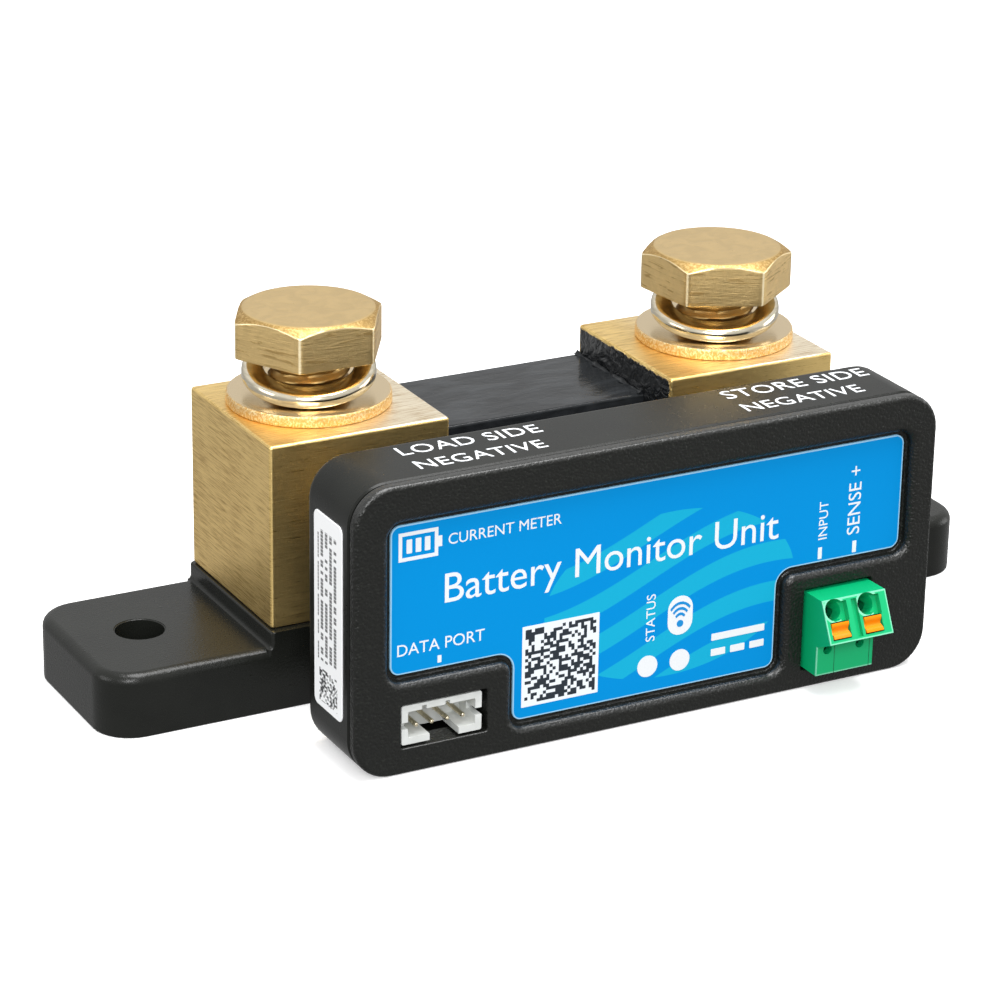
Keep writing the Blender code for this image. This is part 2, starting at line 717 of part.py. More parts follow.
def make_data_socket():
    """The four-way data socket: an open-topped shell and its pins."""
    (left, right), (low, high) = SOCKET_X, SOCKET_Z
    wall = SOCKET_WALL
    shell = box("data_socket_shell", (left, SOCKET_FRONT, low), (right, CHIP_SEAT, high))
    inside = box(
        "socket_inside",
        (left + wall, SOCKET_FRONT - 2, low + wall),
        (right - wall, CHIP_SEAT - 1, high - wall),
    )
    foot_opening = box("socket_foot", (left + 2.7, SOCKET_FRONT - 2, low - 2), (right - 2.7, -30.5, low + 1.5))
    side_notch = box("socket_notch", (right - 1.5, SOCKET_FRONT - 2, 5.2), (right + 2, -32.2, 6.9))
    cut(shell, inside, foot_opening, side_notch)
    middle = (low + high) / 2
    half = SOCKET_PIN_SIDE / 2
    for number, x in enumerate(socket_pins(), 1):
        seat = half + GAP
        passage = box(
            f"socket_passage_{number}",
            (x - seat, CHIP_SEAT - 2, middle - seat),
            (x + seat, CHIP_SEAT + 1, middle + seat),
        )
        cut(shell, passage)
        pin = box(f"data_socket_pin_{number}", (x - half, -32.7, middle - half), (x + half, -25.0, middle + half))
        finish(pin, "pin_gold")
    return finish(shell, "socket_plastic")


def make_plug_header():
    """The board half of the terminal plug: a shroud and two square pins."""
    margin, wall = GAP, 0.7
    low = (PLUG_NOSE_X[0] - margin, PLUG_NOSE_Z[0] - margin)
    high = (PLUG_NOSE_X[1] + margin, PLUG_NOSE_Z[1] + margin)
    front = COVER_INSIDE + GAP
    shroud = box("plug_header", (low[0] - wall, front, low[1] - wall), (high[0] + wall, CHIP_SEAT, high[1] + wall))
    cut(shroud, box("header_inside", (low[0], front - 2, low[1]), (high[0], CHIP_SEAT - 1, high[1])))
    half = PIN_SIDE / 2
    for number, x in enumerate(plug_pins(), 1):
        seat = half + GAP
        passage = box(
            f"header_passage_{number}",
            (x - seat, CHIP_SEAT - 2, PIN_Z - seat),
            (x + seat, CHIP_SEAT + 1, PIN_Z + seat),
        )
        cut(shroud, passage)
        pin = box(f"header_pin_{number}", (x - half, -32.2, PIN_Z - half), (x + half, -25.0, PIN_Z + half))
        finish(pin, "pin_gold")
    return finish(shroud, "plug_green")


# Terminal plug -------------------------------------------------------------------------------------


def entry_point(down, out):
    """A (Y, Z) point given by its distance down the sloping entry face and out from it."""
    top = Vector(PLUG_ENTRY_TOP)
    slope = (Vector(PLUG_ENTRY_FOOT) - top).normalized()
    normal = Vector((slope.y, -slope.x))
    return top + slope * down + normal * out


def entry_prism(name, down, out, across):
    """A four-sided bar square to the entry face, between limits down it, out of it and across it."""
    corners = [entry_point(d, o) for d, o in rectangle((down[0], out[0]), (down[1], out[1]))]
    return extruded(name, corners, across, "X")


def make_plug_housing():
    """The plug's insulating body, with wire funnels, lever slots, test holes and contact cavities."""
    head = [
        (PLUG_BACK, PLUG_ENTRY_TOP[1]),
        PLUG_ENTRY_TOP,
        PLUG_ENTRY_FOOT,
        (PLUG_FOOT_FRONT, PLUG_FOOT_Z[1]),
        (PLUG_BACK, PLUG_FOOT_Z[1]),
    ]
    plug = extruded("plug_housing", head, PLUG_X, "X")
    foot = box(
        "plug_foot",
        (PLUG_FOOT_X[0], PLUG_FOOT_FRONT, PLUG_FOOT_Z[0]),
        (PLUG_FOOT_X[1], PLUG_BACK, PLUG_FOOT_Z[1] + 1),
    )
    nose = box(
        "plug_nose",
        (PLUG_NOSE_X[0], PLUG_BACK - 1, PLUG_NOSE_Z[0]),
        (PLUG_NOSE_X[1], PLUG_NOSE_END, PLUG_NOSE_Z[1]),
    )
    add(plug, foot, nose)
    for number, x in enumerate(POLE_X):
        middle = x + POLE_SHIFT
        cavity = box(
            f"cavity_{number}",
            (middle - CAVITY_HALF_WIDTH, CAVITY_Y[0], CAVITY_Z[0]),
            (middle + CAVITY_HALF_WIDTH, CAVITY_Y[1], CAVITY_Z[1]),
        )
        mouth = entry_point(FUNNEL_DOWN, 1.5)
        end = entry_point(FUNNEL_DOWN, -4.2)
        funnel = rod(f"funnel_{number}", FUNNEL_RADIUS, (x, *mouth), (x, *end), 20)
        pocket = entry_prism(f"pocket_{number}", (0.35, 2.5), (-0.8, 1.0), (x + 0.3, x + 1.65))
        half = LEVER_HALF_WIDTH + LEVER_GAP
        lever_slot = entry_prism(
            f"lever_slot_{number}",
            (LEVER_SPAN[0] - LEVER_GAP, LEVER_SPAN[1] + LEVER_GAP),
            (-LEVER_LENGTH - 1.4, 1.0),
            (middle - half, middle + half),
        )
        test_hole = rod(f"test_hole_{number}", 0.45, (x, PLUG_FOOT_FRONT - 1, 5.9), (x, -35.5, 5.9), 12)
        cut(plug, cavity, funnel, pocket, lever_slot, test_hole)
    cut(plug, entry_prism("pole_groove", (0.3, 5.0), (-0.5, 1.0), (25.5, 26.0)))
    return finish(plug, "plug_green")


def make_lever(number, x):
    """An orange release lever, with a screwdriver groove across its face."""
    top, foot = LEVER_SPAN
    span = foot - top
    face = [(0.0, 0.1), (0.22, 0.12), (0.5, -0.4), (0.78, 0.12), (1.0, 0.1)]
    corners = [entry_point(top + span * share, out) for share, out in face]
    corners += [entry_point(foot, -LEVER_LENGTH), entry_point(top, -LEVER_LENGTH)]
    middle = x + POLE_SHIFT
    across = (middle - LEVER_HALF_WIDTH, middle + LEVER_HALF_WIDTH)
    return finish(extruded(f"release_lever_{number}", corners, across, "X"), "lever_orange")


def ribbon(path, thickness):
    """The outline of a strip of even thickness bent along a path."""
    half = thickness / 2
    points = [Vector(point) for point in path]
    sides = ([], [])
    for i, point in enumerate(points):
        back = (point - points[max(i - 1, 0)]).normalized()
        ahead = (points[min(i + 1, len(points) - 1)] - point).normalized()
        along = (back + ahead).normalized()
        across = Vector((-along.y, along.x))
        reach = half / max(across.dot(Vector((-ahead.y, ahead.x)) if ahead.length else across), 0.5)
        sides[0].append(point + across * reach)
        sides[1].append(point - across * reach)
    return sides[0] + sides[1][::-1]


def make_plug_contacts(number, x):
    """One pole's inner pieces: the box contact round the header pin, and the clamp spring."""
    middle = x + POLE_SHIFT
    contact = box(
        f"plug_contact_{number}",
        (middle - 1.1, -32.8, PIN_Z - 1.1),
        (middle + 1.1, -29.2, PIN_Z + 1.1),
    )
    half = PIN_SIDE / 2 + GAP
    bore = box(
        f"contact_bore_{number}",
        (middle - half, -35, PIN_Z - half),
        (middle + half, -27, PIN_Z + half),
    )
    cut(contact, bore)
    finish(contact, "pin_gold")
    path = ((-33.2, 10.1), (-34.4, 9.9), (-34.5, 8.6), (-33.3, 6.0))
    spring = extruded(f"clamp_spring_{number}", ribbon(path, 0.3), (middle - 1.0, middle + 1.0), "X")
    finish(spring, "steel")
    return [contact, spring]


def make_plug():
    """The pull-off terminal plug and all that comes away with it."""
    pieces = [make_plug_housing()]
    for number, x in enumerate(POLE_X, 1):
        pieces += make_plug_contacts(number, x)
        lever = make_lever(number, x)
        y, z = entry_point(sum(LEVER_SPAN) / 2, 0.0)
        guide(f"lever_{number}_path", (x + POLE_SHIFT, y, z), [lever])
    guide("plug_path", (sum(PLUG_X) / 2, PLUG_BACK, PIN_Z), pieces)


def main():
    clear_scene()
    make_base()
    make_block("left", -1)
    make_block("right", 1)
    make_plates()
    make_block_screws()
    for side in ("left", "right"):
        washers = [make_flat_washer(side), make_spring_washer(side)]
        guide(f"{side}_bolt_axis", (*BOLT_AXES[side], BLOCK_TOP), [make_bolt(side), *washers])
    make_rear_case()
    make_front_cover()
    make_labels()
    make_board()
    make_components()
    make_sense_contacts()
    make_data_socket()
    make_plug_header()
    make_plug()


main()
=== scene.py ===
"""Looks of a battery monitor shunt: brass terminal blocks and bolts, lacquered resistor plates,
a moulded base, and an electronics case with a printed label, a data socket and a terminal plug.

Lengths are in millimetres and are scaled to metres as each mesh is made. X runs along the base,
Y points to the back and Z points up.
"""

import math

import bmesh
import bpy
import numpy as np
from bpy.props import FloatProperty, FloatVectorProperty, IntProperty, PointerProperty
from mathutils import Matrix, Vector


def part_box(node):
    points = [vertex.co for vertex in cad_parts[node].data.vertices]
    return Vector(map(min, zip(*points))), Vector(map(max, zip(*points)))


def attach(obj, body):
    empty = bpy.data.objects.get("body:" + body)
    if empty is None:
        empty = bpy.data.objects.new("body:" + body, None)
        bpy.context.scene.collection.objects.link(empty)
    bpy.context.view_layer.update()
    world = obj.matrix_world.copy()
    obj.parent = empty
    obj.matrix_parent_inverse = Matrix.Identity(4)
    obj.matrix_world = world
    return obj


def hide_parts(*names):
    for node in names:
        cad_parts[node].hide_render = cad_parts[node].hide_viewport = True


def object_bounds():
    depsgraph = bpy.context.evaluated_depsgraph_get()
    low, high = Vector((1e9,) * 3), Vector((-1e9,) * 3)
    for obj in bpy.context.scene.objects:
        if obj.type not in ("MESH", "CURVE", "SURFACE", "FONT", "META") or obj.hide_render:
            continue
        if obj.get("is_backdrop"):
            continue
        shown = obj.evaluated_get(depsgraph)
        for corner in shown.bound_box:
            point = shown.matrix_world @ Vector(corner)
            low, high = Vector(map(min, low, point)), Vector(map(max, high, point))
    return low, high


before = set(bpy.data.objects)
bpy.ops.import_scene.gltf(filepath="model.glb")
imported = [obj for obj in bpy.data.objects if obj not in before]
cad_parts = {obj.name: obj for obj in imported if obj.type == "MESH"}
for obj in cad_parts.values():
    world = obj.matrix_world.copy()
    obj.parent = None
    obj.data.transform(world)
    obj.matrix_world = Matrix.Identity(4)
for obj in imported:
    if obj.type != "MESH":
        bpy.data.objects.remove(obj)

bl_info = {
    "name": "Battery Monitor Shunt",
    "version": (1, 0, 0),
    "blender": (4, 5, 0),
    "location": "View3D > Sidebar > Shunt",
    "description": "Builds the detailed surfaces and finishes of a battery monitor shunt",
    "category": "Add Mesh",
}

MM = 0.001
SIDES = ("left", "right")

# Gap that the frame leaves under the blocks and washers, and the much smaller one left here.
FRAME_GAP = 0.3
TOUCH = 0.02

# Half the thickness of printed letters and signs.
INK = 0.02

# Smallest radius of an outline's corner.
LEAST_RADIUS = 0.02

# Upper and lower edge of the plug's sloping entry face, as (Y, Z), and the unit vectors down it
# and out of it.
ENTRY_TOP = np.array((-37.7, 12.75))
ENTRY_FOOT = np.array((-40.05, 7.95))
ENTRY_LENGTH = np.linalg.norm(ENTRY_FOOT - ENTRY_TOP)
ENTRY_DOWN = (ENTRY_FOOT - ENTRY_TOP) / ENTRY_LENGTH
ENTRY_OUT = np.array((ENTRY_DOWN[1], -ENTRY_DOWN[0]))

# Middle of a wire funnel's mouth, from the upper edge of the entry face, and its radius.
MOUTH_DEPTH = 1.27
MOUTH_RADIUS = 1.5

# Front and top of the plug's foot, its back, and the height of the parting lines' ends.
FOOT_FRONT = -37.1
FOOT_TOP = 6.5
PLUG_BACK = -33.6
PARTING_TOP = 7.2

# Cells along one side of the dot code, and its lowest and highest corner in X and Z.
CODE_CELLS = 25
CODE_LOW = (-16.85, 4.75)
CODE_HIGH = (-6.65, 15.0)


def span(node):
    """Lowest and highest corner of a frame node, in millimetres."""
    low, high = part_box(node)
    return np.array(low) / MM, np.array(high) / MM


# Sizes and colours -------------------------------------------------------------------------------


def length(name, description, default):
    """A length property, given in millimetres and kept in metres."""
    settings = {"min": 0.0, "unit": "LENGTH", "precision": 4}
    return FloatProperty(name=name, description=description, default=default * MM, **settings)


def colour(name, description, default):
    """A colour property."""
    settings = {"min": 0.0, "max": 1.0, "size": 3, "subtype": "COLOR"}
    return FloatVectorProperty(name=name, description=description, default=default, **settings)


class ShuntSizes(bpy.types.PropertyGroup):
    """Sizes that shape the visible surfaces."""

    base_corner: length("Base corner", "Radius of the base's upright corners", 4.9)
    base_edge: length("Base edge", "Radius of the base's upper edge", 1.3)
    base_height: length("Ear height", "Height of the screw ears", 8.05)
    ear_hole: length("Ear hole", "Radius of the hole in each ear", 3.0)
    block_edge: length("Block edge", "Radius of the brass blocks' edges", 0.38)
    head_height: length("Bolt head", "Height of the hexagon head", 5.4)
    thread_pitch: length("Thread pitch", "Rise of the bolt thread in one turn", 1.5)
    thread_depth: length("Thread depth", "Depth of the bolt thread", 0.62)
    spring_thickness: length("Spring washer", "Thickness of the split spring washer", 1.75)
    case_corner: length("Case corner", "Radius of the case's four long corners", 4.75)
    case_edge: length("Case edge", "Radius of the case's rear edge", 1.4)
    cover_edge: length("Cover edge", "Radius of the front cover's outer edge", 0.55)
    seam: length("Seam", "Width of the groove between case and cover", 0.3)
    lip: length("Lip", "Radius of the lip round the sunk label field", 0.95)
    label_corner: length("Label corner", "Radius of the label's corners", 1.2)
    tilt: FloatProperty(
        name="Washer tilt",
        description="Tilt of the loose spring washers",
        default=math.radians(11.4),
        subtype="ANGLE",
    )


class ShuntColours(bpy.types.PropertyGroup):
    """Colours of the finishes."""

    plastic: colour("Black plastic", "Colour of the base, case and cover", (0.0068, 0.0074, 0.0062))
    # The pale brass is a painted reflection, laid on the right part of the blocks' tops.
    brass_pale: colour("Brass, pale", "Bright streaks on top of the blocks", (1.0, 0.91, 0.72))
    brass_light: colour("Brass, light", "Bright streaks of the brushed brass", (1.0, 0.73, 0.29))
    brass_dark: colour("Brass, dark", "Dark streaks of the brushed brass", (0.48, 0.28, 0.065))
    bolt_brass: colour("Bolt brass", "Colour of the bolts and flat washers", (0.80, 0.58, 0.26))
    lacquer: colour("Lacquer", "Colour of the resistor plates' coating", (0.010, 0.011, 0.012))
    chrome: colour("Spring steel", "Colour of the plated spring washers", (0.88, 0.80, 0.62))
    label_blue: colour("Label blue", "Ground colour of the front label", (0.0, 0.25, 0.63))
    label_cyan: colour("Label cyan", "Colour of the label's bands", (0.008, 0.385, 0.61))
    print_white: colour("Print", "Colour of the printed letters", (0.80, 0.83, 0.86))
    socket_white: colour("Socket", "Colour of the data socket's shell", (0.60, 0.62, 0.60))
    gold: colour("Pins", "Colour of the contact pins", (0.92, 0.82, 0.60))
    plug_green: colour("Plug green", "Colour of the terminal plug", (0.0, 0.40, 0.145))
    lever_orange: colour("Lever orange", "Colour of the release levers", (0.80, 0.235, 0.002))
    board_green: colour("Board", "Colour of the circuit board", (0.01, 0.13, 0.05))


def sizes():
    """The size properties, in millimetres (angles unchanged)."""
    group = bpy.context.scene.shunt_sizes
    return {
        name: getattr(group, name) if name == "tilt" else getattr(group, name) / MM
        for name in ShuntSizes.__annotations__
    }


def tint(name):
    """One of the colour properties, as an RGBA tuple."""
    return (*getattr(bpy.context.scene.shunt_colours, name), 1.0)


# Surfaces ----------------------------------------------------------------------------------------


def outline(corners, radii, margin=0.0, steps=8):
    """A right-angled outline with round corners, moved outwards by the margin.

    At each corner, u and v are the unit vectors to the corners before and after it. A corner that
    juts out moves by -(u + v) * margin and its radius grows by the margin; one that is cut in does
    the opposite. Its arc is centre - r * (v * cos a + u * sin a), for a from 0 to a right angle.
    """
    here = np.array(corners, float)
    to_last = np.roll(here, 1, axis=0) - here
    to_next = np.roll(here, -1, axis=0) - here
    u = to_last / np.linalg.norm(to_last, axis=1, keepdims=True)
    v = to_next / np.linalg.norm(to_next, axis=1, keepdims=True)
    juts_out = np.sign(v[:, 0] * u[:, 1] - v[:, 1] * u[:, 0])[:, None]
    here = here - juts_out * (u + v) * margin
    radius = np.broadcast_to(radii, len(here))[:, None] + juts_out * margin
    radius = np.maximum(radius, LEAST_RADIUS)
    centre = here + (u + v) * radius
    angle = np.linspace(0.0, math.pi / 2, steps + 1)[None, :, None]
    swing = v[:, None] * np.cos(angle) + u[:, None] * np.sin(angle)
    arcs = centre[:, None] - radius[:, None] * swing
    return arcs.reshape(-1, 2)


def rectangle(low, high):
    """The corners of a rectangle, anticlockwise."""
    return [(low[0], low[1]), (high[0], low[1]), (high[0], high[1]), (low[0], high[1])]


def fillet(start, end, bulge, steps=6):
    """Points of a quarter ellipse between two (margin, level) points.

    The curve leaves the start along the first number when bulge is 0, and along the second when it
    is 1, and it runs as sine and cosine between them.
    """
    angle = np.linspace(0.0, math.pi / 2, steps + 1)
    share = np.stack([np.sin(angle), 1 - np.cos(angle)], axis=1)
    if bulge:
        share = share[:, ::-1]
    return np.array(start) + share * (np.array(end) - np.array(start))


def path(*stretches):
    """Several stretches of (margin, level) points, one after another."""
    return np.concatenate([np.atleast_2d(np.array(stretch, float)) for stretch in stretches])


def along(axis, flat, level):
    """Places flat points (n, 2) at a level along an axis: X holds (Y, Z), Y (X, Z) and Z (X, Y)."""
    return np.insert(flat, "XYZ".index(axis), level, axis=1)


def mesh_object(name, points, faces):
    """A mesh object from points in millimetres."""
    mesh = bpy.data.meshes.new(name)
    mesh.from_pydata((points * MM).tolist(), [], faces)
    mesh.update()
    obj = bpy.data.objects.new(name, mesh)
    bpy.context.scene.collection.objects.link(obj)
    return obj


def solid(name, points, faces):
    """A closed mesh object, with its faces turned outwards.

    Each face is a fan of triangles a, b, c. The sum of a . (b x c) is six times the volume, and it
    is negative where the faces point inwards.
    """
    fans = np.array([(face[0], *pair) for face in faces for pair in zip(face[1:], face[2:])])
    a, b, c = points[fans[:, 0]], points[fans[:, 1]], points[fans[:, 2]]
    if np.einsum("ij,ij->", a, np.cross(b, c)) < 0:
        faces = [face[::-1] for face in faces]
    return mesh_object(name, points, faces)


def loft(name, rings, caps=True, loop=False):
    """A skin over rings of points (rings, points, 3): a quad between each pair of neighbours.

    Caps close the first and last ring, and loop joins the last ring to the first.
    """
    count, around = rings.shape[:2]
    index = np.arange(count * around).reshape(count, around)
    if loop:
        index = np.vstack([index, index[:1]])
    ahead = np.roll(index, -1, axis=1)
    quads = np.stack([index[:-1], ahead[:-1], ahead[1:], index[1:]], axis=-1).reshape(-1, 4)
    faces = quads.tolist()
    if caps and not loop:
        faces += [index[0][::-1].tolist(), index[-1].tolist()]
    return solid(name, rings.reshape(-1, 3), faces)


def mark_rings(obj, shares):
    """Stores a share of pale edge, painted highlight and on bolts also rubbed metal, for each ring
    of a loft, or for each of its points, as an attribute.
    """
    count = len(obj.data.vertices)
    around = count // len(shares)
    values = shares if len(shares) == count else np.repeat(shares, around)
    obj.data.attributes.new("wear", "FLOAT", "POINT").data.foreach_set("value", values)
    return obj


def prism(name, shape, profile, axis="Z"):
    """An outline carried along an axis: shape(margin) gives it, profile lists (margin, level)."""
    return loft(name, np.stack([along(axis, shape(margin), level) for margin, level in profile]))


def lathe(name, profile, centre, columns=64, axis="Z", loop=False):
    """A profile of (radius, level) points turned round an axis through a point."""
    turn = np.linspace(0.0, 2 * math.pi, columns, endpoint=False)
    circle = np.stack([np.cos(turn), np.sin(turn)], axis=1)
    flat_centre = np.delete(np.array(centre, float), "XYZ".index(axis))
    rings = [along(axis, flat_centre + circle * radius, level) for radius, level in profile]
    return loft(name, np.stack(rings), loop=loop)


def combine(obj, others, operation="DIFFERENCE", weld=0.0):
    """Cuts or joins other shapes, takes the result as the piece's mesh and removes the others.

    Points nearer to each other than the weld are merged.
    """
    for other in others:
        step = obj.modifiers.new(other.name, "BOOLEAN")
        step.operation = operation
        step.object = other
    graph = bpy.context.evaluated_depsgraph_get()
    mesh = bpy.data.meshes.new_from_object(obj.evaluated_get(graph))
    obj.modifiers.clear()
    obj.data = mesh
    if weld:
        shape = bmesh.new()
        shape.from_mesh(mesh)
        bmesh.ops.remove_doubles(shape, verts=shape.verts, dist=weld * MM)
        shape.to_mesh(mesh)
        shape.free()
    for other in others:
        bpy.data.objects.remove(other, do_unlink=True)
    return obj


def soften(obj, width=0.0, segments=2, angle=38.0):
    """Smooth shading with true flats, after an optional bevel of the sharp edges."""
    obj.data.shade_smooth()
    obj.data.set_sharp_from_angle(angle=math.radians(angle))
    if width:
        bevel = obj.modifiers.new("Edges", "BEVEL")
        bevel.width = width * MM
        bevel.segments = segments
        bevel.limit_method = "ANGLE"
        bevel.angle_limit = math.radians(angle)
        bevel.harden_normals = True
    else:
        weighted = obj.modifiers.new("Flats", "WEIGHTED_NORMAL")
        weighted.keep_sharp = True
    return obj


def settle(obj, material, body, slot, *replaced):
    """Gives a piece its material and body, and hides the frame nodes that it stands for. The slot
    is not used.
    """
    obj.data.materials.clear()
    obj.data.materials.append(material)
    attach(obj, body)
    if replaced:
        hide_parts(*replaced)
    return obj


# Shader expressions ------------------------------------------------------------------------------


class Link:
    """A shader socket that can be used in arithmetic, each step adding one Math node."""

    def __init__(self, net, socket):
        self.net = net
        self.socket = socket

    def math(self, operation, *others):
        return self.net.math(operation, self, *others)

    def __add__(self, other):
        return self.math("ADD", other)

    def __radd__(self, other):
        return self.net.math("ADD", other, self)

    def __sub__(self, other):
        return self.math("SUBTRACT", other)

    def __rsub__(self, other):
        return self.net.math("SUBTRACT", other, self)

    def __mul__(self, other):
        return self.math("MULTIPLY", other)

    def __rmul__(self, other):
        return self.net.math("MULTIPLY", other, self)

    def __truediv__(self, other):
        return self.math("DIVIDE", other)

    def __pow__(self, other):
        return self.math("POWER", other)

    def __lt__(self, other):
        return self.math("LESS_THAN", other)

    def __gt__(self, other):
        return self.math("GREATER_THAN", other)

    def __abs__(self):
        return self.math("ABSOLUTE")

    def floor(self):
        return self.math("FLOOR")

    def sine(self):
        return self.math("SINE")

    def most(self, other):
        return self.math("MAXIMUM", other)

    def least(self, other):
        return self.math("MINIMUM", other)

    def ramp(self, low, high, out_low=0.0, out_high=1.0):
        """Maps low..high to out_low..out_high, held at both ends, with a smooth step."""
        settings = {"interpolation_type": "SMOOTHSTEP"}
        inputs = {"Value": self, "From Min": low, "From Max": high}
        inputs.update({"To Min": out_low, "To Max": out_high})
        return self.net.node("ShaderNodeMapRange", settings, inputs)


class Net:
    """The node tree of one material."""

    def __init__(self, name):
        self.material = bpy.data.materials.new(name)
        self.material.use_nodes = True
        self.tree = self.material.node_tree
        self.tree.nodes.clear()
        inputs = {"Vector": self.node("ShaderNodeTexCoord", out="Object"), "Scale": 1 / MM}
        self.spot = self.node("ShaderNodeVectorMath", {"operation": "SCALE"}, inputs)

    def node(self, kind, settings=None, inputs=None, out=0):
        """Adds a node, sets it up, links or sets its inputs and returns an output, if any."""
        made = self.tree.nodes.new(kind)
        for key, value in (settings or {}).items():
            setattr(made, key, value)
        for key, value in (inputs or {}).items():
            if isinstance(value, Link):
                self.tree.links.new(value.socket, made.inputs[key])
            else:
                made.inputs[key].default_value = value
        return None if out is None else Link(self, made.outputs[out])

    def math(self, operation, *values):
        return self.node("ShaderNodeMath", {"operation": operation}, dict(enumerate(values)))

    def axes(self, vector=None):
        """The three numbers of a vector, or of the place in millimetres."""
        split = self.node("ShaderNodeSeparateXYZ", None, {0: vector or self.spot})
        return [Link(self, split.socket.node.outputs[number]) for number in range(3)]

    def facing(self):
        """How far the surface faces along X, Y and Z, from -1 to 1."""
        return self.axes(self.node("ShaderNodeTexCoord", out="Normal"))

    def vector(self, x, y, z):
        """A vector from three numbers."""
        return self.node("ShaderNodeCombineXYZ", None, {0: x, 1: y, 2: z})

    def wear(self):
        """The share of pale edge stored on the piece's points: painted highlight, and on bolts
        rubbed metal too.
        """
        return self.node("ShaderNodeAttribute", {"attribute_name": "wear"}, out="Fac")

    def noise(self, scale, detail=3.0, vector=None, roughness=0.5, distortion=0.0):
        """Noise from 0 to 1, with the scale in waves a millimetre."""
        inputs = {
            "Vector": vector or self.spot,
            "Scale": scale,
            "Detail": detail,
            "Roughness": roughness,
            "Distortion": distortion,
        }
        return self.node("ShaderNodeTexNoise", None, inputs, "Fac")

    def cells(self, scale):
        """Distance to the nearest of scattered points, with the scale in cells a millimetre."""
        inputs = {"Vector": self.spot, "Scale": scale}
        return self.node("ShaderNodeTexVoronoi", None, inputs, "Distance")

    def chance(self, x, y, z, share):
        """1 where a number drawn at random for three whole numbers is over the share, or else 0."""
        settings, inputs = {"noise_dimensions": "3D"}, {"Vector": self.vector(x, y, z)}
        return self.node("ShaderNodeTexWhiteNoise", settings, inputs) > share

    def blend(self, share, first, second):
        """A colour between two colours."""
        inputs = {0: share, 6: first, 7: second}
        return self.node("ShaderNodeMix", {"data_type": "RGBA"}, inputs, 2)

    def bump(self, height, distance):
        """A normal raised by height times a distance in millimetres."""
        inputs = {"Height": height, "Distance": distance * MM, "Strength": 1.0}
        return self.node("ShaderNodeBump", None, inputs)

    def finish(self, **inputs):
        """Ends the tree in a Principled shader and returns the material."""
        named = {key.replace("_", " "): value for key, value in inputs.items()}
        shader = self.node("ShaderNodeBsdfPrincipled", None, named, "BSDF")
        self.node("ShaderNodeOutputMaterial", None, {"Surface": shader}, None)
        return self.material


# Materials ---------------------------------------------------------------------------------------


def scaled(ground, factor):
    """A colour times one number or three, held at 1, as RGBA."""
    shares = np.broadcast_to(factor, 3)
    return (*[min(value * share, 1.0) for value, share in zip(ground, shares)], 1.0)


def whitened(ground, part):
    """A colour moved towards white by one share or three, as RGBA."""
    shares = np.broadcast_to(part, 3)
    return (*[value + (1 - value) * share for value, share in zip(ground, shares)], 1.0)


def moulded_plastic(name, ground, grain, relief, rough, shine):
    """Moulded plastic: an even colour with faint clouding, a fine grain and a varying sheen."""
    net = Net(name)
    cloud = net.noise(0.16)
    fine = net.noise(grain, roughness=0.6)
    specks = net.noise(grain * 0.55, 1.0).ramp(0.68, 0.78)
    return net.finish(
        Base_Color=net.blend(cloud.ramp(0.3, 0.7), ground, scaled(ground, 1.35)),
        Roughness=(cloud + fine) * 0.5 * (rough[1] - rough[0]) + rough[0] - specks * 0.08,
        Specular_IOR_Level=shine,
        Normal=net.bump(fine + specks * 0.5, relief),
    )


def textured_plastic(name, ground):
    """Spark-eroded plastic: a dense fine pebble grain, with scattered glossy peaks painted paler as
    glints.
    """
    net = Net(name)
    pebbles = net.cells(2.6)
    fine = net.noise(4.5, 2.0)
    height = (1 - pebbles) * 0.8 + fine * 0.6
    # Painted glints: scattered peaks are made paler in colour and glossier.
    glints = net.noise(2.8, 1.0).ramp(0.64, 0.72)
    lip = net.facing()[2].ramp(0.25, 0.6)
    return net.finish(
        Base_Color=net.blend(glints * 0.7, ground, scaled(ground, 3.0)),
        Roughness=0.30 - glints * 0.16 + fine * 0.10,
        Specular_IOR_Level=0.36,
        Coat_Weight=lip * 0.6,
        Coat_Roughness=0.22,
        Normal=net.bump(height, 0.11),
    )


